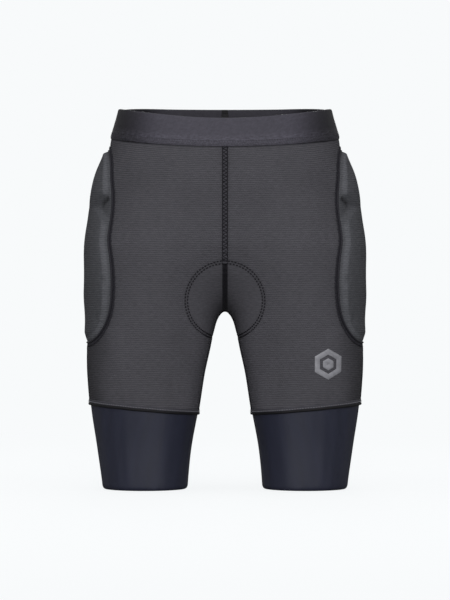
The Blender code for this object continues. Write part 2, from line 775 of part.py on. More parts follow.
def make_hang_loop(looks, parts):
    """A ribbon loop whose top turns on the inside of the waistband."""
    radius = LOOP_DEPTH / 2
    place = Vector((0, FORM_Y + 98.4 * MM, WAIST_TOP_Z - 8 * MM))
    drop = LOOP_LENGTH - LOOP_DEPTH
    turn = np.linspace(0, math.pi, 6)
    upper = [(radius * math.cos(a), radius * math.sin(a)) for a in turn]
    lower = [(-radius * math.cos(a), -drop - radius * math.sin(a)) for a in turn]
    ring = upper + lower
    grid = np.array([[(x, place.y + y, place.z + z) for y, z in ring] for x in (LOOP_WIDTH / 2, -LOOP_WIDTH / 2)])
    made = sheet("hang_loop", grid, RIBBON, looks["thread"], parts, ring=True)
    hang_on(pivot_at("hang_loop_pivot", place, parts), [made])


def make_care_label(looks, parts):
    place = Vector((25 * MM, FORM_Y + 103.8 * MM, BAND_FRONT_Z + 5 * MM))
    bpy.ops.mesh.primitive_cube_add(size=1)
    made = bpy.context.object
    made.name = "care_label"
    made.data.name = "care_label"
    made.scale = (LABEL_SIZE[0], RIBBON, LABEL_SIZE[1])
    made.location = place - Vector((0, 0, LABEL_SIZE[1] / 2 - RIBBON / 2))
    bpy.ops.object.transform_apply(location=True, rotation=False, scale=True)
    made.data.materials.append(looks["label"])
    for old in list(made.users_collection):
        old.objects.unlink(made)
    parts.objects.link(made)
    hang_on(pivot_at("care_label_pivot", place, parts), [made])


def hip_keeper(name, radius, collection):
    """Everything above the hip line, and within a radius of it below: a prism along X."""
    arc = np.linspace(0, math.pi, 49)
    ring = [(HIP_AXIS_Y - radius * math.cos(a), HIP_AXIS_Z - radius * math.sin(a)) for a in arc]
    ring += [(CLEAR, HIP_AXIS_Z), (CLEAR, 2 * CLEAR), (-CLEAR, 2 * CLEAR), (-CLEAR, HIP_AXIS_Z)]
    return prism(name, [(-CLEAR, y, z) for y, z in ring], (2 * CLEAR, 0, 0), collection)


def main():
    clear_scene()
    parts = new_collection("padded_impact_shorts")
    cutters = new_collection("cutters")
    looks = make_materials()
    pelvis_keeper = hip_keeper("pelvis_keeper", HIP_INNER_RADIUS, cutters)
    leg_keeper = hip_keeper("leg_keeper", HIP_OUTER_RADIUS, cutters)
    make_waistband(looks, parts)
    make_centre_seams(looks, parts)
    make_tailbone_pad(looks, parts)
    make_seat_pad(looks, parts)
    make_hang_loop(looks, parts)
    make_care_label(looks, parts)
    for side_name, side in SIDES:
        outline = hip_outline()
        opening = outline.mean(axis=0) + (outline - outline.mean(axis=0)) * 0.985
        ring = [(side * 90 * MM, y, z) for y, z in opening]
        hip_cutter = prism(f"{side_name}_pad_opening", ring, (side * 200 * MM, 0, 0), cutters)
        make_hip_pad(side_name, side, looks, parts)
        pieces = make_panels(side_name, side, pelvis_keeper, leg_keeper, hip_cutter, looks, parts)
        pieces.append(make_inseam(side_name, side, pelvis_keeper, leg_keeper, looks, parts))
        pieces.append(make_side_seam(side_name, side, leg_keeper, looks, parts))
        pieces += make_cuff(side_name, side, looks, parts)
        if side > 0:
            pieces.append(make_mark(looks, parts))
        place = (side * 110 * MM, HIP_AXIS_Y, HIP_AXIS_Z)
        hang_on(pivot_at(f"{side_name}_hip", place, parts), pieces)


main()
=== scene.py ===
"""The looks of the padded impact shorts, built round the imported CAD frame.

Everything is in metres in the frame's own space: +X is the wearer's left, -Y the front, z = 0 the cuff hems.
Fabric pieces are fine grids of points laid on one smooth body form, the same form as the CAD solids follow,
each at its own height above or below it. Pads are then swollen by cloth simulation. Threads are real tubes.
Points are worked out for the left side only: a piece whose name starts with "right" is mirrored.
"""

import json
import math

import bpy
import numpy as np
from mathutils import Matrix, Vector


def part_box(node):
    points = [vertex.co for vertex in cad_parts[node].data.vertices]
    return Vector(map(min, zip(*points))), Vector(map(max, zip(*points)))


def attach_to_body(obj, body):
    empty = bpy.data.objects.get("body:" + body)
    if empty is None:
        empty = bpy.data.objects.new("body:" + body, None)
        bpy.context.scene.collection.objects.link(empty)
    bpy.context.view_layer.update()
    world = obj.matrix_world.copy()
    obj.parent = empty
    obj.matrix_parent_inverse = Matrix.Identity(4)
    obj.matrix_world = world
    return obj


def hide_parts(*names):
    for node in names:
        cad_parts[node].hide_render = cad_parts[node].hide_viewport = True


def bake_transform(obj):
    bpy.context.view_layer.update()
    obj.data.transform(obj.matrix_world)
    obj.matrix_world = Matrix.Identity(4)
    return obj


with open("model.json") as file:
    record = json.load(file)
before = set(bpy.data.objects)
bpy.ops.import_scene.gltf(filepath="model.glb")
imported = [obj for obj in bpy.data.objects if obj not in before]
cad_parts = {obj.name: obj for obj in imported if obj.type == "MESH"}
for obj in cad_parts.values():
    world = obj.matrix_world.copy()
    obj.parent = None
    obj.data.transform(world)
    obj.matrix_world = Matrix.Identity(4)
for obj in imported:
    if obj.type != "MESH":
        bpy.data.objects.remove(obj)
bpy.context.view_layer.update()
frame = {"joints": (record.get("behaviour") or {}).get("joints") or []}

MM = 0.001
TURN = 2 * math.pi
SIDES = {"left": 1, "right": -1}

# Places taken from the frame
FORM_Y = next(joint["pos_m"][1] for joint in frame["joints"] if joint["name"] == "left_hip")
BAND_LOW, BAND_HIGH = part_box("waistband_cover")
BAND_FRONT_Z = BAND_LOW.z
WAIST_TOP_Z = BAND_HIGH.z
CUFF_LOW, CUFF_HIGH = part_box("left_cuff")
CUFF_TOP_OUTER_Z = CUFF_HIGH.z + 0.6 * MM
HIP_PAD_LOW, HIP_PAD_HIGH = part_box("left_hip_pad_seam")
HIP_PAD_Y = FORM_Y - 3 * MM
HIP_PAD_Z = (HIP_PAD_LOW.z + HIP_PAD_HIGH.z) / 2
HIP_PAD_HALF = (HIP_PAD_HIGH.z - HIP_PAD_LOW.z) / 2 - 5 * MM
TAIL_LOW, TAIL_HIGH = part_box("tailbone_stitching")
MARK_LOW, MARK_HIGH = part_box("left_thigh_mark")

# The garment's own heights
SIDE_DIP = 6.5 * MM
FRONT_DIP = 24.5 * MM
BAND_RISE = 23.5 * MM
BAND_TALL = WAIST_TOP_Z - BAND_FRONT_Z - BAND_RISE  # at the back
CROTCH_Z = 252 * MM
SADDLE_Z = 345 * MM
SADDLE_OUTER_Z = 300 * MM
CUFF_TOP_INNER_Z = CUFF_TOP_OUTER_Z - 14 * MM
HEM_RISE = 3 * MM

# Cloth, foam and stitching
PANEL = 1.1 * MM
PANEL_GAP = 0.3 * MM
BAND_PROUD = 1.2 * MM
BAND_ROWS = (2.4 * MM, 8.0 * MM)  # rows of stitches above the band's lower edge
SEAM_HALF = 3.4 * MM
HIP_POWERS = (2.6, 3.6)  # roundness of the hip pad's outline above and below its middle
NOTCH_Z = 394 * MM
NOTCH_TIP = 36 * MM  # from the pad's middle
NOTCH_SLANT = 0.66
SEAT_LOW = -PANEL - 5.6 * MM  # the height of the seat pad's carrier
SEAT_FRONT = 104 * MM  # ahead of the form's middle
SEAT_BACK = 118 * MM  # behind it

# Points in the grids
PANEL_COLUMNS = 72
TORSO_ROWS = 46
SADDLE_ROWS = 38
LEG_ROWS = 54
WAIST_COLUMNS = 300
CUFF_COLUMNS = 160
HIP_POINTS = 200
TAIL_POINTS = 96
LOBE_POINTS = 72
MARK_POINTS = 96
SEAT_ROWS = 120
SEAT_COLUMNS = 22

# The cloth simulation
HIP_PRESSURE = 3.0
TAIL_PRESSURE = -2.5  # inwards, since the pocket's cloth faces the wearer
SEAT_PRESSURE = -3.0
SWELL_FRAMES = 20

# The view and the light
VIEW_AIM = Vector((0, 0, 0.266))
VIEW_DISTANCE = 4.0
VIEW_LENS = 171.4
WORLD_LIGHT = 0.36
LIGHTS = (  # name, place, size, power
    ("key", (0.0, -3.4, 0.75), 1.0, 48),
    ("top", (0.0, -0.4, 3.0), 3.0, 14),
    ("back", (0.0, 3.4, 1.0), 1.5, 30),
)
PAPER = (248, 250, 251)
PAPER_GLOW = 0.89


# ---- the body form


def through(*points):
    """A smooth curve of a value against height, through (height, value) in millimetres, without overshoot."""
    heights, values = np.array(points).T * MM
    steps = np.diff(heights)
    rises = np.diff(values) / steps
    slopes = np.concatenate([rises[:1], np.zeros(len(points) - 2), rises[-1:]])
    for i in range(1, len(points) - 1):
        if rises[i - 1] * rises[i] > 0:
            slopes[i] = 2 * rises[i - 1] * rises[i] / (rises[i - 1] + rises[i])

    def value_at(z):
        z = np.clip(z, heights[0], heights[-1])
        i = np.clip(np.searchsorted(heights, z) - 1, 0, len(steps) - 1)
        t = (z - heights[i]) / steps[i]
        return (
            values[i] * (1 + 2 * t) * (1 - t) ** 2
            + values[i + 1] * t * t * (3 - 2 * t)
            + steps[i] * t * (1 - t) * (slopes[i] * (1 - t) - slopes[i + 1] * t)
        )

    return value_at


torso_half_width = through(
    (300, 182), (340, 182), (380, 179), (430, 172), (470, 161.5), (490, 158.5), (532, 143.5), (540, 141)
)
torso_front = through((360, 102), (400, 106), (450, 109), (490, 106), (540, 99))
torso_back = through((360, 127), (400, 125), (450, 116), (490, 109), (540, 103.5))
leg_centre = through(
    (0, 111.5), (60, 112.8), (115, 112), (160, 110.5), (204, 106), (240, 101.5), (300, 98), (420, 76)
)
leg_half_width = through(
    (0, 59), (14, 60.2), (60, 65.8), (115, 74.9), (160, 80.3), (204, 85.2), (240, 87.5), (280, 89),
    (340, 82), (420, 55)
)
leg_front = through((0, 61), (60, 67), (125, 77), (160, 82), (204, 87), (250, 92), (300, 95), (420, 70))
leg_back = through((0, 60), (60, 66), (125, 76), (160, 81), (204, 87), (250, 95), (300, 104), (420, 76))
TORSO_END_Z = 355 * MM
TORSO_END_HEIGHT = 98 * MM
TORSO_POWER = 2.25
DEPTH_CHANGE = 25 * MM
LEGS_BLEND = 10 * MM
HIPS_BLEND = 34 * MM


def blend(a, b, share):
    return a + (b - a) * share


def smooth_union(a, b, width):
    share = np.clip(0.5 + 0.5 * (b - a) / width, 0, 1)
    return blend(b, a, share) - width * share * (1 - share)


def depth_at(y, front, back):
    return blend(front, back, 0.5 + 0.5 * np.tanh(y / DEPTH_CHANGE))


def leg_distance(x, y, z):
    half_width = leg_half_width(z)
    half_depth = depth_at(y, leg_front(z), leg_back(z))
    reach = np.hypot((x - leg_centre(z)) / half_width, y / half_depth)
    return (reach - 1) * np.minimum(half_width, half_depth)


def form(points):
    """About the distance of each point from the body form, negative inside it."""
    x, y, z = points[..., 0], points[..., 1] - FORM_Y, points[..., 2]
    half_width = torso_half_width(z)
    half_depth = depth_at(y, torso_front(z), torso_back(z))
    below = np.maximum(TORSO_END_Z - z, 0) / TORSO_END_HEIGHT
    ring = np.abs(x / half_width) ** TORSO_POWER + np.abs(y / half_depth) ** TORSO_POWER
    reach = np.sqrt(ring ** (2 / TORSO_POWER) + below**2)
    torso = (reach - 1) * np.minimum(half_width, half_depth)
    legs = smooth_union(leg_distance(x, y, z), leg_distance(-x, y, z), LEGS_BLEND)
    return smooth_union(torso, legs, HIPS_BLEND)


def gradient(points, value=form):
    """How fast a value changes along x, y and z."""
    step = 0.2 * MM
    rises = [value(points + shift) - value(points - shift) for shift in np.eye(3) * step]
    return np.stack(rises, axis=-1) / (2 * step)


def unit(vectors):
    return vectors / np.maximum(np.linalg.norm(vectors, axis=-1, keepdims=True), 1e-12)


def normals_at(points):
    return unit(gradient(points))


def settle(points, level=False, rounds=20):
    """Moves each point straight onto the form, or keeps its height while doing so."""
    free = (1, 1, 0) if level else (1, 1, 1)
    for _ in range(rounds):
        gap = form(points)
        if np.abs(gap).max() < 1e-7:
            break
        slope = gradient(points) * free
        points = points - gap[..., None] * slope / (slope**2).sum(axis=-1, keepdims=True)
    return points


def raised(points, height):
    return points + normals_at(points) * np.asarray(height)[..., None]


def raised_level(points, height):
    return points + unit(normals_at(points) * (1, 1, 0)) * np.asarray(height)[..., None]


def between(inside, outside):
    """The points where straight lines from inside the form to outside it cross its surface."""
    for _ in range(36):
        middle = (inside + outside) / 2
        within = (form(middle) < 0)[..., None]
        inside = np.where(within, middle, inside)
        outside = np.where(within, outside, middle)
    return inside


# ---- curves


def smoothstep(value, low, high):
    t = np.clip((value - low) / (high - low), 0, 1)
    return t * t * (3 - 2 * t)


def ease(value, power):
    """0 to 1, fast at first and then slower."""
    return 1 - (1 - np.clip(value, 0, 1)) ** power


def bell(value, width):
    return np.exp(-((value / width) ** 2))


def ripple(value, length):
    return np.sin(value * TURN / length)


def round_angles(count):
    return np.arange(count) * TURN / count


def stacked(*parts):
    return np.stack(np.broadcast_arrays(*parts), axis=-1)


def line_steps(line):
    """The distance along a line of points to each of them."""
    return np.concatenate([[0], np.cumsum(np.linalg.norm(np.diff(line, axis=0), axis=1))])


def even_line(points, count, closed=False):
    """The same line, or closed ring, with evenly spaced points."""
    if closed:
        points = np.concatenate([points, points[:1]])
    length = line_steps(points)
    places = np.linspace(0, length[-1], count, endpoint=not closed)
    return np.stack([np.interp(places, length, column) for column in points.T], axis=-1)


def tangents(line, closed, axis=0):
    if closed:
        return unit(np.roll(line, -1, axis=axis) - np.roll(line, 1, axis=axis))
    return unit(np.gradient(line, axis=axis))


# ---- sheets on the form


def band_bottom_z(around):
    return BAND_FRONT_Z + BAND_RISE * ease((1 + np.sin(around)) / 2, 2)


def band_top_z(around):
    ahead = np.minimum(np.sin(around), 0)
    rise = smoothstep(np.sin(around), 0, 0.8)
    return WAIST_TOP_Z - SIDE_DIP * (1 - rise) - (FRONT_DIP - SIDE_DIP) * ahead**2


def cuff_top_z(around):
    return blend(CUFF_TOP_INNER_Z, CUFF_TOP_OUTER_Z, (1 + np.cos(around)) / 2)


def round_form(x, z, around, front, back, level=False):
    """Onto the form, from x and z, and a depth ahead or behind that turns with the angle around."""
    depth = np.where(np.sin(around) < 0, front, back)
    return settle(stacked(x, FORM_Y + depth * np.sin(around), z), level)


def round_torso(z, around):
    """Round the torso at a height: around is an angle, -90 degrees at the front, 0 at the left side."""
    x = torso_half_width(z) * np.cos(around)
    return round_form(x, z, around, torso_front(z), torso_back(z), level=True)


def torso_points(share, along):
    """The left half below the waistband: share 0 is the band's lower edge, along -1 front, 0 side, 1 back."""
    around = along * math.pi / 2
    return round_torso(blend(band_bottom_z(around), SADDLE_Z, share), around)


def band_points(share, around):
    return round_torso(blend(band_bottom_z(around), band_top_z(around), share), around)


def saddle_points(share, along):
    """The left half of the seat: share 0 is the level line at SADDLE_Z, 1 the ring through the crotch."""
    around = along * np.arccos(-share)
    width = torso_half_width(SADDLE_Z)
    middle = width * share / (1 + share)
    x = blend(middle, width, np.cos(around))
    z = blend(blend(SADDLE_Z, CROTCH_Z, share), blend(SADDLE_Z, SADDLE_OUTER_Z, share), x / width)
    front = blend(torso_front(SADDLE_Z), leg_front(z), share)
    back = blend(torso_back(SADDLE_Z), leg_back(z), share)
    return round_form(x, z, around, front, back)


def leg_points(share, around):
    """The left leg below the crotch: share 0 is the ring through the crotch and 1 the cuff seam."""
    across = (1 + np.cos(around)) / 2
    inner_z = blend(CROTCH_Z, CUFF_TOP_INNER_Z, share)
    z = blend(inner_z, blend(SADDLE_OUTER_Z, CUFF_TOP_OUTER_Z, share), across)
    inner_x = (leg_centre(z) - leg_half_width(z)) * ease(share, 6)
    x = blend(inner_x, leg_centre(z) + leg_half_width(z), across)
    return round_form(x, z, around, leg_front(z), leg_back(z))


def panel_rows(along):
    """Rows of points down the left half, from the waistband to the cuff seam."""
    rows = [torso_points(share, along) for share in np.linspace(0, 1, TORSO_ROWS + 1)[:-1]]
    rows += [saddle_points(share, along) for share in np.linspace(0, 1, SADDLE_ROWS + 1)[:-1]]
    rows += [leg_points(share, along * math.pi) for share in np.linspace(0, 1, LEG_ROWS + 1)]
    return np.array(rows)


def waist_ring(share):
    """A ring round the waistband, from the back: share 0 is the band's lower edge, 1 its top."""
    around = round_angles(WAIST_COLUMNS) + math.pi / 2
    left = np.cos(around) >= 0
    ring = band_points(share, np.where(left, around, math.pi - around))
    return ring * stacked(np.where(left, 1, -1), 1, 1)


def leg_ring(share, count=CUFF_COLUMNS):
    """A ring round the left leg: share 0 is the cuff seam, 1 the hem."""
    around = round_angles(count) - math.pi
    z = blend(cuff_top_z(around), HEM_RISE, share)
    x = leg_centre(z) + leg_half_width(z) * np.cos(around)
    return round_form(x, z, around, leg_front(z), leg_back(z), level=True)


def side_points(flat):
    """Onto the outer side of the left hip and leg, from (y, z)."""
    start = stacked(0, flat[..., 0], flat[..., 1])
    return between(start + (110 * MM, 0, 0), start + (250 * MM, 0, 0))


def face_points(flat, toward):
    """Onto the front (-1) or the back (1), from (x, z)."""
    start = stacked(flat[..., 0], FORM_Y, flat[..., 1])
    return between(start, start + (0, toward * 200 * MM, 0))


# ---- outlines


def superellipse(angles, power):
    across = np.sign(np.cos(angles)) * np.abs(np.cos(angles)) ** (2 / power)
    up = np.sign(np.sin(angles)) * np.abs(np.sin(angles)) ** (2 / power)
    return across, up


def hip_half_width(up):
    """Half the hip pad's width, at a share of the way up from its middle."""
    return (66 - 6.5 * np.tanh(5 * up)) * MM


def hip_outline(count):
    """(y, z) round the left hip pad: blunt and broad below its middle, rounder and narrower above it."""
    angles = round_angles(720)
    across, up = superellipse(angles, np.where(np.sin(angles) > 0, *HIP_POWERS))
    ring = stacked(HIP_PAD_Y + hip_half_width(up) * across, HIP_PAD_Z + HIP_PAD_HALF * up)
    return even_line(ring, count, closed=True)


def hip_inset(points):
    """How far a point lies inside the hip pad's outline, negative outside, measured in the side view."""
    flat = points[..., 1:]
    gap = (flat[..., None, :] - hip_outline(120)) ** 2
    nearest = np.sqrt(gap.sum(axis=-1).min(axis=-1))
    up = np.clip((flat[..., 1] - HIP_PAD_Z) / HIP_PAD_HALF, -1.5, 1.5)
    across = (flat[..., 0] - HIP_PAD_Y) / hip_half_width(up)
    power = np.where(up > 0, *HIP_POWERS)
    inside = np.abs(across) ** power + np.abs(up) ** power < 1
    outer = np.abs(points[..., 0]) > 100 * MM
    return np.where(outer, np.where(inside, nearest, -nearest), -50 * MM)


def tail_outline():
    """(x, z) round the tailbone pad: an egg, wider above."""
    across, up = superellipse(round_angles(360), 2.3)
    middle = (TAIL_LOW.z + TAIL_HIGH.z) / 2
    half = (TAIL_HIGH.z - TAIL_LOW.z) / 2
    return even_line(stacked((44 + 5 * up) * MM * across, middle + half * up), TAIL_POINTS, closed=True)


def hexagon_outline(middle, radius):
    corners = [(math.cos(a), math.sin(a)) for a in math.pi / 6 + round_angles(6)]
    return middle + even_line(np.array(corners) * radius, MARK_POINTS, closed=True)


def seat_size(y):
    """Height of the seat pad's middle and its radius, as seen from the front and, larger, from the back."""
    share = smoothstep(y, FORM_Y, FORM_Y + 80 * MM)
    return 264.6 * MM + 12 * MM * share, 53 * MM + 10 * MM * share


def seat_distance(points):
    """How far a point of the seat lies outside the seat pad's outline, seen from the front or back."""
    middle, radius = seat_size(points[..., 1])
    return np.hypot(points[..., 0], points[..., 2] - middle) - radius


def seat_ring():
    """Points on the form along the left half of the seat pad's outline, from front to back."""
    angle = np.linspace(0, math.pi, 400)
    y = FORM_Y - 110 * MM * np.cos(angle)
    middle, radius = seat_size(y)
    x = np.minimum(radius * np.sqrt(np.sin(angle)), 45 * MM)
    points = settle(stacked(x, y, middle + radius * np.cos(2 * angle)))
    for _ in range(60):
        slope = gradient(points, seat_distance)
        facing = normals_at(points)
        slope = slope - (slope * facing).sum(axis=-1, keepdims=True) * facing
        size = np.maximum((slope**2).sum(axis=-1, keepdims=True), 0.05)
        points = settle(points - 0.7 * seat_distance(points)[:, None] * slope / size, rounds=2)
    return even_line(points, SEAT_ROWS)


# ---- the outer fabric's relief and shade


def relief(points):
    """How far the outer fabric rises above the form: pull lines, puckers and the bed of the hip pad."""
    x, y, z = np.abs(points[..., 0]), points[..., 1] - FORM_Y, points[..., 2]
    ahead = smoothstep(-y, 10 * MM, 60 * MM)
    centre = smoothstep(z, CROTCH_Z + 10 * MM, CROTCH_Z + 50 * MM)
    pucker = 0.5 * MM * ripple(z, 7.5 * MM) * np.exp(-x / (8 * MM)) * centre
    groove = -0.5 * MM * bell(x, 5 * MM) * centre
    edge = seat_distance(points)
    over_seat = smoothstep(edge, 0, 6 * MM) * smoothstep(-edge, -42 * MM, -14 * MM)
    pull = 0.6 * MM * ripple(z - 0.83 * x, 8.5 * MM) * over_seat * smoothstep(z, 0.28, 0.31) * ahead
    ring = -0.45 * MM * bell(edge, 2.6 * MM)
    puff = 0.7 * MM * smoothstep(-edge, 2 * MM, 18 * MM) * smoothstep(x, 3 * MM, 14 * MM)
    low = smoothstep(-z, -0.25, -0.19)
    drape = 0.45 * MM * np.sin(x * TURN / (43 * MM) + 3 * np.sin(z * 19)) * low * ahead
    inset = hip_inset(points)
    bed = -0.9 * MM * smoothstep(inset, -3 * MM, 2.5 * MM)
    near_pad = np.exp(-np.maximum(-inset, 0) / (7 * MM)) * smoothstep(-inset, 0, 3 * MM)
    tug = 0.35 * MM * ripple(z, 13 * MM) * near_pad
    return pucker + groove + pull + ring + puff + drape + bed + tug


def panel_shade(points):
    """Painted shade: darker cloth at the crotch, along the centre, round the pads and on the outer leg;
    painted light makes it paler inside the leg.
    """
    x, z = points[..., 0], points[..., 2]
    crotch = bell(np.hypot(x, z - CROTCH_Z), 22 * MM)
    centre = bell(x, 6 * MM) * smoothstep(z, CROTCH_Z, CROTCH_Z + 20 * MM)
    pads = 0.5 * bell(hip_inset(points), 3.5 * MM) + 0.16 * bell(seat_distance(points), 3 * MM)
    across = (x - leg_centre(z)) / leg_half_width(z)
    leg = 0.55 * smoothstep(across, 0.5, 0.95) - 0.6 * smoothstep(-across, 0.4, 0.9)
    return 0.85 * crotch + 0.3 * centre + pads + leg * smoothstep(-z, -SADDLE_OUTER_Z, -CROTCH_Z)


def on_fabric(points, height=0.0):
    return raised(points, relief(points) + height)


# ---- making meshes


def make_piece(name, points, faces, uv, look, on="pelvis", replaced=(), wall=0, fields=None, turn=None):
    """A mesh from points, faces and a place in metres on the cloth for each point, fixed to a body.

    on is a body, or a side, for which the piece is only baked in place; replaced are the CAD nodes that it
    stands for.
    turn, for a ring of quads, is how long each of its rows is once round.
    """
    points = np.asarray(points).reshape(-1, 3)
    faces = [list(face) for face in faces]
    if name.startswith("right"):
        points = points * (-1, 1, 1)
        faces = [face[::-1] for face in faces]
    mesh = bpy.data.meshes.new(name)
    mesh.from_pydata(points.tolist(), [], faces)
    layer = mesh.uv_layers.new(name="Weave")
    corner = np.empty(len(mesh.loops), np.int32)
    mesh.loops.foreach_get("vertex_index", corner)
    place = np.asarray(uv).reshape(-1, 2)[corner]
    if turn is not None:
        columns = len(points) // len(turn)
        closing = (np.arange(len(corner)) // 4 % columns == columns - 1) & (corner % columns == 0)
        place[closing, 0] += turn[corner[closing] // columns]
    layer.data.foreach_set("uv", place.astype(np.float32).ravel())
    for field, values in (fields or {}).items():
        attribute = mesh.attributes.new(field, "FLOAT", "POINT")
        attribute.data.foreach_set("value", np.asarray(values, np.float32).ravel())
    mesh.shade_smooth()
    mesh.materials.append(LOOKS[look])
    made = bpy.data.objects.new(name, mesh)
    bpy.context.scene.collection.objects.link(made)
    if wall:
        solid = made.modifiers.new("Wall", "SOLIDIFY")
        solid.thickness = wall
        solid.offset = -1
    if on is not None:
        attach(made, on)
        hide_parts(*replaced)
    return made


def attach(made, on):
    """Fixes a piece to a body; a piece for a side is only baked in place and fixed to no body."""
    if on in SIDES:
        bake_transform(made)
    else:
        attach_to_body(made, on)


def grid_faces(rows, columns, ring=False, tube=False):
    """Faces of a grid whose rows run down: a ring joins its last column to its first, a tube its rows."""
    r = np.arange(rows if tube else rows - 1)[:, None]
    c = np.arange(columns if ring else columns - 1)[None]
    below = (r + 1) % rows
    beside = (c + 1) % columns
    corners = (r * columns + c, below * columns + c, below * columns + beside, r * columns + beside)
    return np.stack([np.broadcast_to(corner, (r.size, c.size)) for corner in corners], axis=-1).reshape(-1, 4)


def grid_uv(grid):
    """Distance along each row, and height, in metres."""
    return np.stack([[line_steps(row) for row in grid], grid[..., 2]], axis=-1)


def make_grid(name, grid, look, on="pelvis", replaced=(), ring=False, tube=False, uv=None, **more):
    faces = grid_faces(*grid.shape[:2], ring, tube)
    uv = grid_uv(grid) if uv is None else uv
    turn = uv[:, -1, 0] + np.linalg.norm(grid[:, 0] - grid[:, -1], axis=-1) if ring else None
    return make_piece(name, grid, faces, uv, look, on, replaced, turn=turn, **more)


def round_profile(radius, sides=6):
    angles = round_angles(sides)
    return stacked(np.cos(angles), np.sin(angles)) * radius


def sweep(lines, facing, profile, closed):
    """A closed (across, up) profile carried along each of n lines of k points: its points, faces and UVs."""
    tangent = tangents(lines, closed, axis=1)
    across = unit(np.cross(tangent, facing))
    up = np.cross(across, tangent)
    points = lines[:, :, None] + profile[:, :1] * across[:, :, None] + profile[:, 1:] * up[:, :, None]
    n, k, s = points.shape[:3]
    one = grid_faces(k, s, ring=True, tube=closed)[:, ::-1]
    faces = (one[None] + np.arange(n)[:, None, None] * k * s).reshape(-1, 4).tolist()
    if not closed:
        for first in range(0, n * k * s, k * s):
            faces.append(list(range(first, first + s)))
            faces.append(list(range(first + k * s - 1, first + (k - 1) * s - 1, -1)))
    along = np.array([line_steps(line) for line in lines])
    return points.reshape(-1, 3), faces, stacked(along[..., None], np.linspace(0, 1, s)).reshape(-1, 2)


def make_sweep(name, bundles, look, on="pelvis", replaced=()):
    """One piece from several (lines, facing, profile, closed) sweeps."""
    points, faces, uvs = [], [], []
    start = 0
    for bundle in bundles:
        some, some_faces, some_uvs = sweep(*bundle)
        faces += [[start + i for i in face] for face in some_faces]
        points.append(some)
        uvs.append(some_uvs)
        start += len(some)
    return make_piece(name, np.concatenate(points), faces, np.concatenate(uvs), look, on, replaced)


# ---- threads


def dashes(path, lift, length, gap, radius, closed=False, shift=0.0, at=on_fabric):
    """A row of straight stitches along a path on the form, each dipping into the fabric at its ends."""
    if closed:
        path = np.concatenate([path, path[:1]])
    count = int(line_steps(path)[-1] / (length + gap))
    fine = even_line(path, count * 12 + 1)
    pick = np.arange(count)[:, None] * 12 + np.linspace(0, 12 * length / (length + gap), 5)[None] + 12 * shift
    whole = np.clip(pick.astype(int), 0, len(fine) - 2)
    part = np.clip(pick - whole, 0, 1)[..., None]
    lines = blend(fine[whole], fine[whole + 1], part)
    arch = np.array((-0.45, 0.09, 0.27, 0.09, -0.45)) * MM
    return at(lines, lift + arch), normals_at(lines), round_profile(radius), False


def zigzag(path, lift, pitch, swing, radius, closed=False, at=on_fabric):
    """A thread that runs from side to side of a path on the form."""
    length = line_steps(path)[-1] + (np.linalg.norm(path[0] - path[-1]) if closed else 0)
    line = even_line(path, int(length / pitch) * 8 + (0 if closed else 1), closed)
    facing = normals_at(line)
    across = unit(np.cross(tangents(line, closed), facing))
    place = np.arange(len(line)) / 8
    wave = 2 * np.abs(2 * (place - np.floor(place + 0.5))) - 1
    line = line + across * (swing * wave)[:, None]
    dip = 0.35 * MM * np.abs(wave) ** 3
    return at(line, lift - dip)[None], facing[None], round_profile(radius, 5), closed


def laid(path, lift, profile, closed, at):
    """A profile that follows a path at a height."""
    line = even_line(path, int(line_steps(path)[-1] / (2 * MM)) + 1, closed)
    return at(line, lift)[None], normals_at(line)[None], profile, closed


def cord_on(path, lift, radius, closed=False, at=on_fabric):
    return laid(path, lift, round_profile(radius, 8), closed, at)


def tape_on(path, half_width, low, high, closed=False, at=on_fabric):
    """A flat strip with rounded edges."""
    middle = (low + high) / 2
    across = np.array((1, 0.93, 0.5, 0, -0.5, -0.93, -1, -0.93, 0, 0.93)) * half_width
    up = np.array((middle, high - 0.1 * MM, high, high, high, high - 0.1 * MM, middle, low, low, low))
    return laid(path, middle, stacked(across, up - middle), closed, at)


def offset_line(path, distance):
    """A line on the form beside a path."""
    across = unit(np.cross(tangents(path, False), normals_at(path)))
    return settle(path + across * distance)


# ---- pads


def spread(outline, shares):
    """Rings at shares of the way out to a flat outline, and how far inside the outline each point lies."""
    middle = outline.mean(axis=0)
    flat = middle + (outline - middle) * np.asarray(shares)[:, None, None]
    return flat, np.min([np.hypot(flat[..., 0] - a, flat[..., 1] - b) for a, b in outline], axis=0)


def disc(base, flat, height, closed=False):
    """Rings of base points raised off the form, closed to a point inside the first one. flat is their UVs.

    A closed body's rings run out and in again, and its last ring is closed to a point too.
    """
    points = raised(base, height).reshape(-1, 3)
    rows, columns = flat.shape[:2]
    faces = grid_faces(rows, columns, ring=True).tolist()
    middle = flat[0].mean(axis=0)
    uv = flat.reshape(-1, 2)
    for first, turn in ((0, 1), ((rows - 1) * columns, -1))[: 2 if closed else 1]:
        loop = [first + i for i in range(columns)]
        faces += [[loop[i], loop[(i + 1) % columns], len(points)][::turn] for i in range(columns)]
        points = np.concatenate([points, points[loop].mean(axis=0, keepdims=True)])
        uv = np.concatenate([uv, middle[None]])
    a, b, c = (points[i] for i in faces[columns][:3])
    if np.dot(np.cross(b - a, c - a), normals_at(a)) <= 0:
        faces = [face[::-1] for face in faces]
    return points, faces, uv


def two_rings(points, inset):
    """Which points of an open disc are in its two outermost rings."""
    place = np.arange(len(points))
    return (place >= inset.size - 2 * inset.shape[1]) & (place < inset.size)


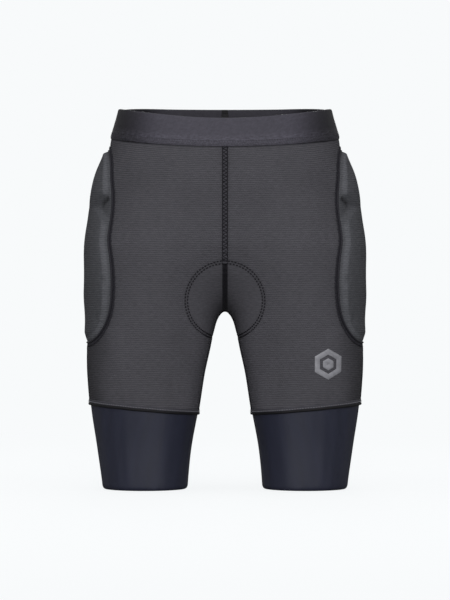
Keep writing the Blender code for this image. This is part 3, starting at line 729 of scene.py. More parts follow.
def swollen(points, faces, pinned, pressure, cap):
    """The points after a short cloth simulation under pressure, in which no point goes further than cap."""
    mesh = bpy.data.meshes.new("cloth")
    mesh.from_pydata(points.tolist(), [], [list(face) for face in faces])
    made = bpy.data.objects.new("cloth", mesh)
    bpy.context.scene.collection.objects.link(made)
    group = made.vertex_groups.new(name="pinned")
    group.add([int(i) for i in np.flatnonzero(pinned)], 1.0, "REPLACE")
    settings = made.modifiers.new("Swell", "CLOTH").settings
    settings.vertex_group_mass = "pinned"
    settings.quality = 6
    settings.mass = 0.15
    settings.use_pressure = True
    settings.uniform_pressure_force = pressure
    settings.effector_weights.gravity = 0
    for moment in range(1, SWELL_FRAMES + 1):
        bpy.context.scene.frame_set(moment)
    result = made.evaluated_get(bpy.context.evaluated_depsgraph_get())
    after = np.empty(len(points) * 3, np.float32)
    result.to_mesh().vertices.foreach_get("co", after)
    result.to_mesh_clear()
    bpy.data.objects.remove(made)
    bpy.context.scene.frame_set(1)
    move = after.reshape(-1, 3) - points
    far = np.linalg.norm(move, axis=1, keepdims=True)
    return points + move * np.minimum(1, cap / np.maximum(far, 1e-9))


# ---- materials


def tone(red, green, blue):
    """A display colour, 0 to 255, as the linear colour that Blender takes."""
    values = np.array((red, green, blue)) / 255
    linear = np.where(values <= 0.04045, values / 12.92, ((values + 0.055) / 1.055) ** 2.4)
    return tuple(linear.tolist())


class Value:
    """An output in a material's node tree. Arithmetic on it adds Math nodes."""

    def __init__(self, look, socket):
        self.look = look
        self.socket = socket

    def __rsub__(self, other):
        return self.look.math("SUBTRACT", other, self)

    def __abs__(self):
        return self.look.math("ABSOLUTE", self)


def operator(operation):
    return lambda value, other: value.look.math(operation, value, other)


Value.__add__ = Value.__radd__ = operator("ADD")
Value.__mul__ = operator("MULTIPLY")
Value.__sub__ = operator("SUBTRACT")
Value.__pow__ = operator("POWER")


class Look:
    """One procedural material, built a node at a time. Lengths are metres on the cloth."""

    def __init__(self, slot, roughness, specular, sheen=0.0):
        self.material = bpy.data.materials.new(slot)
        self.material.use_nodes = True
        self.material["slot"] = slot
        self.tree = self.material.node_tree
        self.shader = self.tree.nodes["Principled BSDF"]
        self.feed(self.shader, {"Roughness": roughness, "Specular IOR Level": specular})
        self.feed(self.shader, {"Sheen Weight": sheen, "Sheen Roughness": 0.4})
        self.place = self.value("UVMap", uv_map="Weave")
        self.along = self.value("SeparateXYZ", {0: self.place}, output=0)
        self.up = self.value("SeparateXYZ", {0: self.place}, output=1)

    def feed(self, node, inputs):
        """Sets a node's inputs, each to a plain value or to another node's output."""
        for key, value in inputs.items():
            if isinstance(value, Value):
                self.tree.links.new(value.socket, node.inputs[key])
            else:
                node.inputs[key].default_value = value

    def value(self, kind, inputs=None, output=0, **settings):
        """An output of a new node."""
        made = self.tree.nodes.new("ShaderNode" + kind)
        for key, setting in settings.items():
            setattr(made, key, setting)
        self.feed(made, inputs or {})
        return Value(self, made.outputs[output])

    def math(self, operation, *values):
        return self.value("Math", dict(enumerate(values)), operation=operation)

    def smooth(self, value, low, high, start=0.0, end=1.0):
        inputs = {0: value, 1: low, 2: high, 3: start, 4: end}
        return self.value("MapRange", inputs, interpolation_type="SMOOTHSTEP")

    def wave(self, value, length):
        """0 to 1 and back along a value, once in each length."""
        return self.math("SINE", value * (TURN / length)) * 0.5 + 0.5

    def noise(self, size, detail=2.0, stretch=(1, 1, 1)):
        scaled = self.value("VectorMath", {0: self.place, 1: stretch}, operation="MULTIPLY")
        return self.value("TexNoise", {"Vector": scaled, "Scale": 1 / size, "Detail": detail})

    def field(self, name):
        return self.value("Attribute", attribute_name=name, output="Fac")

    def finish(self, colour, bright, height, depth, roughness):
        """The material: its colour times bright, its relief, height times a depth, and its roughness."""
        tinted = self.value("VectorMath", {0: colour, "Scale": bright}, operation="SCALE")
        bump = self.value("Bump", {"Height": height, "Distance": depth, "Strength": 1.0})
        self.feed(self.shader, {"Base Color": tinted, "Normal": bump, "Roughness": roughness})
        return self.material


def mesh_look(slot, yarn, pitch=2.5 * MM):
    """Warp-knit mesh: fine level ribs parted by beaded grooves, in uneven yarn."""
    look = Look(slot, roughness=0.85, specular=0.15)
    rows = (look.up + look.noise(22 * MM) * (1.6 * MM)) * (1 / pitch)
    shift = look.math("MODULO", abs(look.math("FLOOR", rows)), 2.0) * 0.5
    columns = look.along * (1 / (1.5 * pitch)) + shift
    across = look.math("FRACT", columns) - 0.5
    upward = look.math("FRACT", rows) - 0.5
    reach = abs(across * 1.7) ** 2.0 + abs(upward * 3.4) ** 2.0
    seat = look.field("seat")
    groove = look.smooth(reach, 0.25, 1.5, 1.0, 0.0) * (1 - seat * 0.6)
    loops = look.wave(look.along, 0.8 * MM) * look.wave(look.up, 0.8 * MM)
    cloudy = look.noise(60 * MM, 3.0)
    flecks = look.noise(2.2 * MM, stretch=(0.3, 1.6, 1))
    bright = 0.44 + cloudy * 0.32 + flecks * 0.8 + loops * 0.12
    # Painted shade: the shade field darkens the yarn, and the grooves are painted darker as shade in them.
    bright = bright * (1 - look.field("painted_shade") * 0.6) * (1 - seat * 0.12) * (1 - groove * 0.26)
    height = loops * 0.35 + flecks * 0.5 - groove
    return look.finish(yarn, bright, height, 0.35 * MM, 0.72 + flecks * 0.2)


def satin_look(slot, yarn, rib=1.3 * MM, roughness=0.5, gloss=0.35):
    """A close woven band with fine upright ribs and a soft uneven shine."""
    look = Look(slot, roughness, specular=gloss)
    ribs = look.wave(look.along, rib)
    picks = look.wave(look.up, 0.7 * MM)
    cloudy = look.noise(45 * MM, 3.0, (1, 0.4, 1))
    fine = look.noise(2.4 * MM, 3.0)
    mottle = look.noise(7 * MM, 3.0, (1, 1.5, 1))
    bright = 0.4 + cloudy * 0.25 + ribs * 0.12 + fine * 0.45 + mottle * 0.55
    rough_knit = look.field("rough_knit")
    flecks = look.noise(2.8 * MM, stretch=(0.5, 1.4, 1)) - 0.42
    # Painted shade: the shade field darkens the band.
    bright = bright * (1 - look.field("painted_shade") * 0.6) + rough_knit * (0.06 + flecks * 1.6)
    height = ribs + picks * 0.5 + fine * 0.4 + rough_knit * flecks
    return look.finish(yarn, bright, height, 0.12 * MM, roughness - 0.1 + cloudy * 0.2)


def lycra_look(slot, yarn):
    """Smooth stretch knit: fine upright wales, a soft shine, and faint broad bands."""
    look = Look(slot, 0.45, specular=0.6)
    wales = look.wave(look.along, 0.9 * MM)
    courses = look.wave(look.up, 0.9 * MM)
    bands = look.noise(14 * MM, stretch=(1, 0.12, 1))
    fine = look.noise(1.0 * MM)
    bright = 0.62 + bands * 0.55 + wales * 0.1 + fine * 0.14
    return look.finish(yarn, bright, wales + courses * 0.6 + fine * 0.5, 0.1 * MM, 0.42 + bands * 0.2)


def thread_look(slot, yarn, ply=1.1 * MM, gloss=0.55):
    """Twisted thread: slanting plies, and lint that lightens it here and there."""
    look = Look(slot, gloss, specular=0.25, sheen=0.03)
    twist = look.wave(look.along + look.up * ply, ply)
    lint = look.noise(3 * MM, 3.0)
    return look.finish(yarn, 0.6 + twist * 0.4 + lint * 0.4, twist, 0.12 * MM, gloss - 0.1 + lint * 0.25)


def foam_look(slot, colour, cell=1.6 * MM):
    """Closed-cell foam: small cells of uneven size and a mottled colour."""
    look = Look(slot, 0.85, specular=0.2, sheen=0.05)
    cells = look.value("TexVoronoi", {"Vector": look.place, "Scale": 1 / cell}, output="Distance")
    mottle = look.noise(12 * MM, 3.0)
    bright = 0.72 + mottle * 0.3 + cells * 0.25
    return look.finish(colour, bright, cells, 0.3 * MM, 0.75 + mottle * 0.2)


def print_look(slot, colour):
    """Reflective print: a fine glass-bead grain, worn a little thin in places."""
    look = Look(slot, 0.4, specular=0.6)
    beads = look.noise(0.5 * MM)
    worn = look.smooth(look.noise(6 * MM, 4.0), 0.35, 0.6)
    bright = 0.72 + beads * 0.3 + worn * 0.15
    return look.finish(colour, bright, beads, 0.06 * MM, 0.3 + beads * 0.3)


def silicone_look(slot, colour):
    """Soft silicone: a smooth, slightly uneven gloss with dust on it."""
    look = Look(slot, 0.3, specular=0.5)
    look.feed(look.shader, {"Coat Weight": 0.3})
    dust = look.noise(4 * MM, 4.0)
    return look.finish(colour, 0.8 + dust * 0.3, dust, 0.05 * MM, 0.2 + dust * 0.35)


def paper_look(slot, colour):
    """Pale matt paper that gives way to its own glow, seen by the camera only, where its far field is 1."""
    look = Look(slot, 0.9, specular=0.0)
    grain = look.noise(5 * MM, 3.0)
    far = look.field("far")
    seen = look.value("LightPath", output="Is Camera Ray")
    glow = seen * (PAPER_GLOW + far * (1 - PAPER_GLOW))
    look.feed(look.shader, {"Emission Color": (*tone(*PAPER), 1), "Emission Strength": glow})
    return look.finish(colour, (1 - far) * (0.98 + grain * 0.04), grain, 0.02 * MM, 0.9)


LOOKS = {
    "mesh": mesh_look("mesh_fabric", tone(95, 94, 100)),
    "pad": mesh_look("pad_fabric", tone(94, 95, 100)),
    "lining": mesh_look("mesh_fabric", tone(62, 62, 68), pitch=2.4 * MM),
    "satin": satin_look("waistband_satin", tone(80, 78, 88), gloss=0.2),
    "ribbon": satin_look("thread", tone(22, 21, 25), rib=1.0 * MM, roughness=0.6),
    "knit": satin_look("knitted_elastic", tone(205, 204, 200), rib=2.2 * MM, roughness=0.8),
    "lycra": lycra_look("navy_lycra", tone(40, 43, 62)),
    "seat": satin_look("seat_fabric", tone(60, 60, 66), rib=1.6 * MM, roughness=0.75),
    "tape": satin_look("thread", tone(72, 71, 78), rib=1.0 * MM, roughness=0.7),
    "thread": thread_look("thread", tone(30, 29, 35)),
    "grey": thread_look("thread", tone(66, 65, 72)),
    "binding": thread_look("thread", tone(46, 45, 52), ply=2.4 * MM, gloss=0.6),
    "light": thread_look("thread", tone(138, 138, 146)),
    "impact": foam_look("impact_foam", tone(222, 118, 40)),
    "foam": foam_look("seat_foam", tone(96, 100, 108), cell=1.2 * MM),
    "silicone": silicone_look("silicone", tone(120, 120, 126)),
    "mark": print_look("reflective_print", tone(160, 160, 167)),
    "label": satin_look("label_satin", tone(222, 221, 216), rib=0.8 * MM),
    "paper": paper_look("none", tone(120, 121, 122)),
}


# ---- the pieces


def pull_apart(rows, gap):
    """Draws the four edges of a grid of points in by a gap, along the grid."""
    rows = rows.copy()
    for grid in (rows, rows[::-1], rows.swapaxes(0, 1), rows.swapaxes(0, 1)[::-1]):
        grid[0] += unit(grid[1] - grid[0]) * gap
    return rows


def make_panels(side):
    for face, ends in (("front", (-1, 0)), ("back", (0, 1))):
        along = np.linspace(*ends, PANEL_COLUMNS + 1)
        rows = pull_apart(panel_rows(along), PANEL_GAP)
        uv = grid_uv(rows)
        if face == "front":
            uv[..., 0] -= uv[:, -1:, 0]
        slope = band_bottom_z(along * math.pi / 2) - BAND_FRONT_Z
        uv[..., 1] -= slope * smoothstep(rows[..., 2], 0.40, 0.48)
        # The shade field is painted shade on the panels, and painted light where it is below zero.
        fields = {"seat": smoothstep(-seat_distance(rows), -1 * MM, 2 * MM), "painted_shade": panel_shade(rows)}
        nodes = (f"{side}_{face}_panel", f"{side}_thigh_{face}_panel")
        rows = on_fabric(rows)
        make_grid(f"{side}_{face}_fabric", rows, "mesh", side, nodes, uv=uv, wall=PANEL, fields=fields)


def waistband_profile():
    """Up the inner face, over the fold and down the outer: shares of the height, and heights off the form."""
    low = -2.4 * MM
    bend = 1.8 * MM
    inner = [(share, low) for share in (0.01, 0.12, 0.3, 0.5, 0.7, 0.86)]
    turn = np.linspace(-math.pi / 2, math.pi / 2, 9)
    fold = [(1 - bend / BAND_TALL * (1 - math.cos(a)), low + bend + bend * math.sin(a)) for a in turn]
    outer = []
    levels = (34, 30, 26, 22, 18, 14, 11, 9.4, 8.8, 8.4, 8, 7.6, 7, 6, 4.6, 3.4, 2.8, 2.4, 2, 1.4, 0.7, 0.2)
    for up in levels:  # close together at the two rows of stitches
        groove = 0.22 * MM * sum(bell(up * MM - row, 0.45 * MM) for row in BAND_ROWS)
        edge = 0.6 * MM * math.exp(-up / 0.35)
        outer.append((up * MM / BAND_TALL, BAND_PROUD - groove - edge))
    return np.array(inner), np.array(fold), np.array(outer)


def make_waistband():
    inner, fold, outer = waistband_profile()
    profile = np.concatenate([inner, fold, outer])
    grid = np.array([raised_level(waist_ring(share), height) for share, height in profile])
    up = np.broadcast_to(profile[:, :1] * BAND_TALL, grid.shape[:2])
    uv = grid_uv(grid)
    uv[..., 1] = up
    # Painted shade: a painted shadow along the band's lower edge, painted shade over its inner face, and
    # darker sides where the light falls away.
    painted_shade = np.exp(-up / (1.3 * MM))
    painted_shade[: len(inner) + len(fold) // 2] = 0.8
    painted_shade = np.minimum(painted_shade + 1.3 * smoothstep(np.abs(grid[..., 0]), 0.085, 0.15), 1.3)
    rough_knit = smoothstep(-up, -17 * MM, -12 * MM) * smoothstep(up, 0.5 * MM, 1.5 * MM)
    rough_knit[: len(inner) + len(fold)] = 0
    fields = {"painted_shade": painted_shade, "rough_knit": rough_knit}
    band = {"ring": True, "replaced": ("waistband_cover",)}
    make_grid("waistband_satin", grid, "satin", **band, uv=uv, wall=0.7 * MM, fields=fields)
    ribs = 0.15 * MM * np.cos(np.arange(WAIST_COLUMNS) * math.pi)[:, None] * (1, 1, 0)
    inside = np.array([waist_ring(share) + ribs for share in np.linspace(0.93, 0.04, 14)])
    band = {"ring": True, "replaced": ("waistband_elastic",)}
    make_grid("waistband_elastic_web", inside, "knit", **band, wall=1.1 * MM)
    threads = []
    for row in BAND_ROWS:
        path = waist_ring(row / BAND_TALL)
        height = BAND_PROUD - 0.15 * MM
        threads.append(dashes(path, height, 2.5 * MM, 1.1 * MM, 0.38 * MM, closed=True, at=raised_level))
    path = waist_ring(sum(BAND_ROWS) / 2 / BAND_TALL)
    height = BAND_PROUD + 0.05 * MM
    threads.append(zigzag(path, height, 3.6 * MM, 2.5 * MM, 0.22 * MM, closed=True, at=raised_level))
    make_sweep("waist_coverstitch", threads, "grey", replaced=("waist_seam",))


def flatlock(path):
    """The threads of a flatlock seam: two edge cords and a ladder of thread between them."""
    edges = [cord_on(offset_line(path, out), 0.6 * MM, 0.8 * MM) for out in (-3.2 * MM, 3.2 * MM)]
    return edges + [zigzag(path, 0.95 * MM, 5.0 * MM, 3.0 * MM, 0.6 * MM)]


def make_seam(name, path, threads, on, replaced):
    tape = tape_on(path, SEAM_HALF, 0.1 * MM, 0.75 * MM)
    make_sweep(f"{name}_tape", [tape], "tape", on, replaced)
    make_sweep(f"{name}_threads", threads, "thread", on)


def make_centre_seams():
    """Flatlock down to the seat pad's stitches, and below them a narrow fold of dark cords, also painted
    shade in the crease.
    """
    for name, end in (("centre_front", -1), ("centre_back", 1)):
        path = panel_rows(np.array([end]))[:, 0]
        path = path[path[:, 2] > CROTCH_Z - 0.1 * MM][: TORSO_ROWS + SADDLE_ROWS + 1]
        above = seat_distance(path) > 0
        # Below the seat's stitches three dark cords stand for the fold and for the painted shade in its
        # crease.
        beside = [offset_line(path[~above], out) for out in (-2.3 * MM, 0.0, 2.3 * MM)]
        threads = flatlock(path[above]) + [cord_on(line, 0.4 * MM, 1.3 * MM) for line in beside]
        make_seam(name, path, threads, "pelvis", (f"{name}_seam",))


def make_leg_seams(side):
    inner, outer = panel_rows(np.array((1, 0)))[TORSO_ROWS + SADDLE_ROWS :].swapaxes(0, 1)
    make_seam(f"{side}_inseam", inner, flatlock(inner), side, (f"{side}_inseam", f"{side}_inseam_upper"))
    outer = outer[(hip_inset(outer) < -3 * MM) & (outer[:, 2] < SADDLE_OUTER_Z)]
    make_seam(f"{side}_side_seam", outer, flatlock(outer), side, (f"{side}_side_seam",))


def make_cuff(side):
    """A tube of lycra, gathered at its seam and turned in at its hem, with its gripper, and a near-black cord
    at its top edge that is also painted shadow under the seam's overlap.
    """
    leg = f"{side}_leg"
    turned_in = [(0.004, -1.6), (0.001, -0.9), (0.002, -0.3)]
    down = [(share, 0.0) for share in np.linspace(0.01, 0.95, 34)]
    hem = [(0.962, -0.1), (0.975, -0.45), (0.986, -1.0), (0.995, -1.8), (1.0, -2.8)]
    back_up = [(0.995, -3.4), (0.985, -3.2), (0.97, -2.5)]
    back_up += [(share, -2.0) for share in np.linspace(0.95, 0.01, 16)]
    around = round_angles(CUFF_COLUMNS)
    rows = []
    for share, height in turned_in + down + hem + back_up:
        gather = 0.3 * np.cos(around * 44) * math.exp(-share * 16)
        gather += 0.22 * np.cos(around * 17 + 2 * np.sin(around * 3))
        fade = min(1.0, 12 * (1 - share), 20 * share)
        rows.append(raised_level(leg_ring(share), (height + gather * fade) * MM))
    make_grid(f"{side}_cuff_lycra", np.array(rows), "lycra", leg, (f"{side}_cuff",), ring=True, tube=True)
    rows = []
    around = round_angles(2 * CUFF_COLUMNS)
    for share, up in zip(np.linspace(0.70, 0.95, 25), np.linspace(0, 5, 25)):
        dot = np.cos(around * 64 + math.pi * math.floor(up)) * math.cos((up % 1 - 0.5) * math.pi)
        height = -2.4 * MM - 0.6 * MM * np.clip(dot * 1.4, 0, 1)
        rows.append(raised_level(leg_ring(share, len(around)), height))
    nodes = (f"{side}_cuff_gripper",)
    make_grid(f"{side}_silicone_gripper", np.array(rows), "silicone", leg, nodes, ring=True, wall=0.5 * MM)
    roll = tape_on(leg_ring(-0.010), 2.6 * MM, 0.1 * MM, 1.9 * MM, closed=True)
    make_sweep(f"{side}_cuff_tape", [roll], "tape", leg, (f"{side}_cuff_seam",))
    # A near-black cord just below the seam: the cuff's top edge, and painted shadow under the seam's overlap.
    shadow_cord = cord_on(leg_ring(0.022), 1.1 * MM, 2.1 * MM, closed=True)
    make_sweep(f"{side}_cuff_shadow_cord", [shadow_cord], "ribbon", leg)
    stitches = dashes(leg_ring(-0.006), 2.3 * MM, 1.4 * MM, 2.2 * MM, 0.5 * MM, closed=True)
    make_sweep(f"{side}_cuff_stitches", [stitches], "light", leg)


def past_notch_tip(flat):
    return (np.abs(flat[..., 0] - HIP_PAD_Y) - NOTCH_TIP) * math.sin(NOTCH_SLANT)


def notch_distance(flat):
    """How far a point of the hip pad lies from the wedge-shaped flex notch in its nearer long edge."""
    return np.maximum(np.abs(flat[..., 1] - NOTCH_Z) * math.cos(NOTCH_SLANT) - past_notch_tip(flat), 0)


def hip_height(flat, inset):
    """The hip pad's height: a firm chamfer from its rim, a soft crown, and a flex notch in each long edge."""
    z = flat[..., 1]
    reach = np.minimum(inset, notch_distance(flat) + 1.0 * MM)
    wide = (7.5 + 6.5 * smoothstep(-z, -0.27, -0.22) - 2.5 * smoothstep(z, 0.43, 0.46)) * MM
    chamfer = ease(reach / wide, 1.15)
    crown = ease(reach / (34 * MM), 2)
    lobe = bell(z - 0.412, 0.045) * crown
    thin = 2.4 * MM * smoothstep(-z, -0.28, -0.23) * chamfer
    return 0.3 * MM + 7.2 * MM * chamfer + 1.2 * MM * crown + 4.2 * MM * lobe - thin


def hip_shade(flat, inset):
    """The pad's cover: a painted highlight on the chamfer, painted shade at its rim, and a painted shadow
    along the fold above each notch.
    """
    chamfer_highlight = smoothstep(inset, 2.5 * MM, 4 * MM) * smoothstep(-inset, -9 * MM, -7 * MM)
    chamfer_highlight = chamfer_highlight * smoothstep(notch_distance(flat), 3 * MM, 9 * MM)
    past_tip = past_notch_tip(flat)
    upper_edge = (flat[..., 1] - NOTCH_Z) * math.cos(NOTCH_SLANT) - past_tip
    fold = bell(upper_edge, 1.9 * MM) * smoothstep(past_tip, 1 * MM, 4 * MM) * (inset > 4 * MM)
    return 0.5 * (inset < 1.5 * MM) + 1.1 * fold - 0.58 * chamfer_highlight


def make_hip_pads():
    """Each pad from outside in: the swollen cover, the foam and the lining, then its bound edge."""
    outline = hip_outline(HIP_POINTS)
    rim_shares = (0.962, 0.974, 0.984, 0.993, 1.0)
    flat, inset = spread(outline, (*np.linspace(0.03, 0.8, 30), *np.linspace(0.815, 0.95, 12), *rim_shares))
    points, faces, uv = disc(side_points(flat), flat, hip_height(flat, inset))
    points = swollen(points, faces, two_rings(points, inset), HIP_PRESSURE, 2.2 * MM)
    # Painted shade and a painted highlight on the pad's cover.
    fields = {"painted_shade": np.append(hip_shade(flat, inset), 0)}
    flat, inset = spread(outline, np.linspace(0.05, 0.93, 26))
    foam = disc(side_points(flat), flat, np.maximum(hip_height(flat, inset) - 3.4 * MM, 0.4 * MM))
    flat, _ = spread(outline, np.linspace(0.05, 0.97, 14))
    lining = disc(side_points(flat), flat, -2.6 * MM)
    beside = side_points(spread(outline, (1.026,))[0][0])
    binding = [
        cord_on(side_points(outline), 1.2 * MM, 1.35 * MM, closed=True, at=raised),
        tape_on(beside, 1.9 * MM, -0.4 * MM, 0.7 * MM, closed=True, at=raised),
        zigzag(beside, 0.7 * MM, 4.2 * MM, 2.4 * MM, 0.6 * MM, closed=True, at=raised),
    ]
    for side in SIDES:
        pad = f"{side}_hip_pad"
        make_piece(f"{pad}_shell", points, faces, uv, "pad", side, (f"{pad}_cover",), 1.0 * MM, fields)
        make_piece(f"{pad}_core", *foam, "impact", side, (f"{pad}_foam",), 4 * MM)
        make_piece(f"{pad}_lining", *lining, "lining", side, (f"{pad}_backing",), 0.8 * MM)
        make_sweep(f"{pad}_binding", binding, "binding", side, (f"{pad}_seam",))


def make_tailbone_pad():
    """A pocket and its foam inside the back panels, and the pocket's stitches outside them."""
    outline = tail_outline()

    def bulge(inset):
        return -PANEL - 1.8 * MM - 6.6 * MM * ease(inset / (13 * MM), 2)

    flat, inset = spread(outline, (*np.linspace(0.05, 0.7, 12), *np.linspace(0.74, 1.0, 10)))
    points, faces, uv = disc(face_points(flat, 1), flat, bulge(inset))
    points = swollen(points, faces, two_rings(points, inset), TAIL_PRESSURE, 1.2 * MM)
    make_piece("tailbone_pad_pocket", points, faces, uv, "lining", "pelvis", ("tailbone_pocket",), 0.8 * MM)
    flat, inset = spread(outline, np.linspace(0.06, 0.9, 14))
    height = bulge(inset) + 1.1 * MM * smoothstep(inset, 3 * MM, 12 * MM)
    points, faces, uv = disc(face_points(flat, 1), flat, height)
    points = raised(points, 3.4 * MM)
    make_piece("tailbone_pad_core", points, faces, uv, "impact", "pelvis", ("tailbone_foam",), 3 * MM)
    stitches = dashes(face_points(outline, 1), 0.3 * MM, 3.0 * MM, 1.3 * MM, 0.42 * MM, closed=True)
    make_sweep("tailbone_pad_stitches", [stitches], "thread", replaced=("tailbone_stitching",))


def seat_grid(ring, shares):
    """The left half of the seat pad as rows along it, from the centre line out to its outline."""
    along = np.linspace(0, 1, 400)
    depth = np.where(along < 0.5, SEAT_FRONT, SEAT_BACK)
    z = np.where(along < 0.5, ring[0, 2], ring[-1, 2])
    z = blend(z, CROTCH_Z, np.sin(along * math.pi))
    centre = settle(stacked(0, FORM_Y - depth * np.cos(along * math.pi), z)) * (0, 1, 1)
    line = even_line(settle(centre) * (0, 1, 1), len(ring))
    return settle(blend(line[:, None], ring[:, None], shares[:, None]))


def patch_points(grid, places):
    """Points on a grid of points, at places from 0 to 1 down and across it."""
    last = np.array(grid.shape[:2]) - 1
    scaled = np.clip(places * last, 0, last - 0.001)
    i, j = np.moveaxis(scaled.astype(int), -1, 0)
    u, v = np.moveaxis(scaled % 1, -1, 0)[..., None]
    return blend(blend(grid[i, j], grid[i, j + 1], v), blend(grid[i + 1, j], grid[i + 1, j + 1], v), u)


def make_seat_foam(name, node, grid, rows, columns, tall, cap):
    """One foam lobe on each side, over a span of rows and columns of the seat's grid."""
    across, up = superellipse(round_angles(LOBE_POINTS), 3.0)
    outline = stacked(np.mean(rows) + np.ptp(rows) / 2 * across, np.mean(columns) + np.ptp(columns) / 2 * up)
    out, back = np.linspace(0.07, 1, 14), (0.9, 0.5, 0.2)
    flat, inset = spread(outline, (*out, *back))
    height = SEAT_LOW - 1.6 * MM - tall * ease(3.2 * inset / inset.max(), 2.2)
    height[len(out) :] = SEAT_LOW - 1.2 * MM
    points, faces, uv = disc(patch_points(grid, flat), flat, height, closed=True)
    top = (len(out) - 1) * LOBE_POINTS
    pinned = np.arange(len(points)) >= top
    pinned[-2] = False
    points = swollen(points, faces, pinned, SEAT_PRESSURE, cap)
    for side in SIDES:
        make_piece(f"{side}_seat_{name}", points, faces, uv * 0.12, "foam", side, (node.format(side),))


def make_seat():
    ring = seat_ring()
    shares = np.linspace(0, 1, SEAT_COLUMNS)
    grid = seat_grid(ring, shares)
    make_seat_foam("foam", "chamois_foam_{}", grid, (0.40, 0.93), (0.16, 0.9), 7.5 * MM, 1.6 * MM)
    make_seat_foam("front_foam", "chamois_front_foam", grid, (0.07, 0.30), (0.06, 0.62), 2.5 * MM, 1.0 * MM)
    quilt = 0.2 * MM * np.cos(np.linspace(0, 60, SEAT_ROWS))[:, None] * np.sin(shares * math.pi)
    carrier = raised(grid, SEAT_LOW + quilt)
    threads = []
    for out, shift in ((-1.9 * MM, 0.0), (1.9 * MM, 0.5)):
        threads.append(dashes(offset_line(ring, out), 0.5 * MM, 1.8 * MM, 2.7 * MM, 0.95 * MM, shift=shift))
    for side in SIDES:
        make_grid(f"{side}_seat_carrier", carrier, "seat", side, ("chamois_carrier",), wall=0.8 * MM)
        make_sweep(f"{side}_seat_stitches", threads, "thread", side, ("chamois_stitching",))


def make_mark():
    """A raised hexagon ring with a smaller hexagon in it. Each is a thin closed band of four rings."""
    middle = np.array(((MARK_LOW.x + MARK_HIGH.x) / 2 - 3 * MM, (MARK_LOW.z + MARK_HIGH.z) / 2))
    outline = hexagon_outline(middle, (MARK_HIGH.z - MARK_LOW.z) / 2)
    height = np.array((0.1, 0.45, 0.45, 0.1))[:, None] * MM
    faces = grid_faces(4, MARK_POINTS, ring=True, tube=True)
    flat = [spread(outline, shares)[0] for shares in ((0.60, 0.63, 0.97, 1.0), (0.002, 0.01, 0.36, 0.4))]
    points = np.concatenate([on_fabric(face_points(one, -1), height) for one in flat])
    faces = np.concatenate([faces, faces + 4 * MARK_POINTS])
    uv = np.concatenate(flat)
    make_piece("left_thigh_hexagon", points, faces, uv, "mark", "left", ("left_thigh_mark",))


def make_hang_loop():
    """A ribbon folded in half: its two ends meet under the waistband's edge and its bend hangs inside."""
    low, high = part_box("hang_loop")
    place = (low + high) / 2
    radius = (high.y - low.y) / 2 - 0.45 * MM
    drop = (high.z - low.z) / 2 - radius - 0.45 * MM
    turn = np.linspace(0, math.pi, 12)
    bend = stacked(radius * np.cos(turn), drop + radius * np.sin(turn))
    z = np.linspace(drop, -drop, 16)[1:-1]
    straight = stacked(-radius - 0.5 * MM * np.cos(z / drop * math.pi / 2), z)
    ring = np.concatenate([bend, straight, -bend, -straight])
    across = np.array((0.5, 0.47, 0.3, 0.1, -0.1, -0.3, -0.47, -0.5)) * (high.x - low.x)
    edge = np.array((-0.1, 0.05, 0, 0.03, 0.03, 0, 0.05, -0.1)) * MM
    outward = tangents(ring, True) @ np.array(((0, -1), (1, 0)))
    line = np.array(place.yz) + ring - outward * edge[:, None, None]
    grid = stacked(across[:, None], line[..., 0], line[..., 1])
    make_grid("hang_loop_ribbon", grid, "ribbon", "loop", ("hang_loop",), ring=True, wall=0.8 * MM)
    back = np.array([band_points(share, np.array(math.pi / 2)) for share in np.linspace(0.84, 0.995, 6)])
    tab = stacked(across[::-1] + place.x, back[:, 1:2] - 3.4 * MM, back[:, 2:])
    make_grid("hang_loop_tab", tab, "ribbon", wall=0.8 * MM)


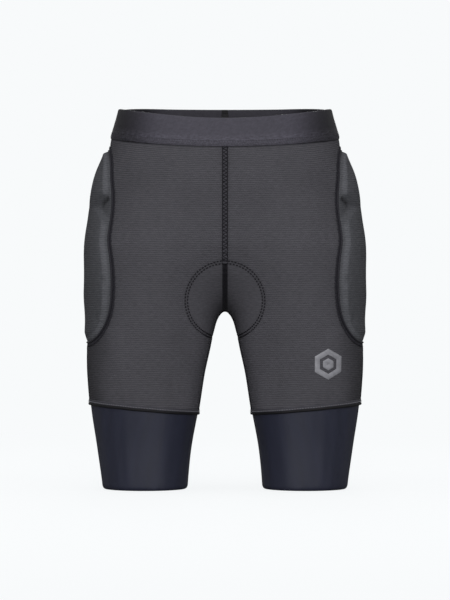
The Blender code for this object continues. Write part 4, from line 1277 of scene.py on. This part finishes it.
def make_care_label():
    """A blank satin label, sewn along its top edge and curling towards the wearer below."""
    low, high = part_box("care_label")
    across = np.linspace(1, 0, 14)
    down = np.linspace(0, 1, 22)[:, None]
    wave = 0.35 * MM * np.sin(across * math.pi) * np.sin(down * math.pi * 1.5)
    y = low.y + 0.2 * MM - 1.5 * MM * down**3 - wave
    grid = stacked(blend(low.x, high.x, across), y, blend(high.z, low.z, down))
    make_grid("care_label_blank", grid, "label", "label", ("care_label",), wall=0.5 * MM)


# ---- the set


def place_object(name, data, location):
    made = bpy.data.objects.new(name, data)
    made.location = location
    made.rotation_mode = "QUATERNION"
    made.rotation_quaternion = (VIEW_AIM - made.location).to_track_quat("-Z", "Y")
    bpy.context.scene.collection.objects.link(made)
    return made


def make_stage():
    """A wide pale floor that fades into an equally pale sky, and soft lights in front, above and behind."""
    around = round_angles(48)
    radii = np.concatenate([np.linspace(0.002, 1.7, 35), np.linspace(2.5, 9, 8)])[:, None]
    grid = stacked(radii * np.cos(around), radii * np.sin(around), CUFF_LOW.z + HEM_RISE - 0.5 * MM)
    far = smoothstep(np.hypot(grid[..., 0], grid[..., 1]), 0.4, 1.6)
    make_grid("floor", grid, "paper", on=None, ring=True, fields={"far": far})
    world = bpy.data.worlds.new("studio")
    world.use_nodes = True
    tree = world.node_tree
    seen = tree.nodes.new("ShaderNodeLightPath").outputs["Is Camera Ray"]
    mix = tree.nodes.new("ShaderNodeMix")
    mix.data_type = "RGBA"
    mix.inputs[6].default_value = (WORLD_LIGHT, WORLD_LIGHT, WORLD_LIGHT, 1)
    mix.inputs[7].default_value = (*tone(*PAPER), 1)
    tree.links.new(seen, mix.inputs[0])
    tree.links.new(mix.outputs[2], tree.nodes["Background"].inputs["Color"])
    bpy.context.scene.world = world
    for name, place, size, power in LIGHTS:
        light = bpy.data.lights.new(name, "AREA")
        light.shape = "DISK"
        light.size = size
        light.energy = power
        place_object(name, light, place)
    camera = bpy.data.cameras.new("camera")
    camera.lens = VIEW_LENS
    camera.sensor_width = 36
    bpy.context.scene.camera = place_object("camera", camera, VIEW_AIM - Vector((0, VIEW_DISTANCE, 0)))
    bpy.context.scene.view_settings.view_transform = "Standard"


make_waistband()
make_centre_seams()
make_tailbone_pad()
make_seat()
make_hip_pads()
make_mark()
make_hang_loop()
make_care_label()
for side in SIDES:
    make_panels(side)
    make_leg_seams(side)
    make_cuff(side)
make_stage()
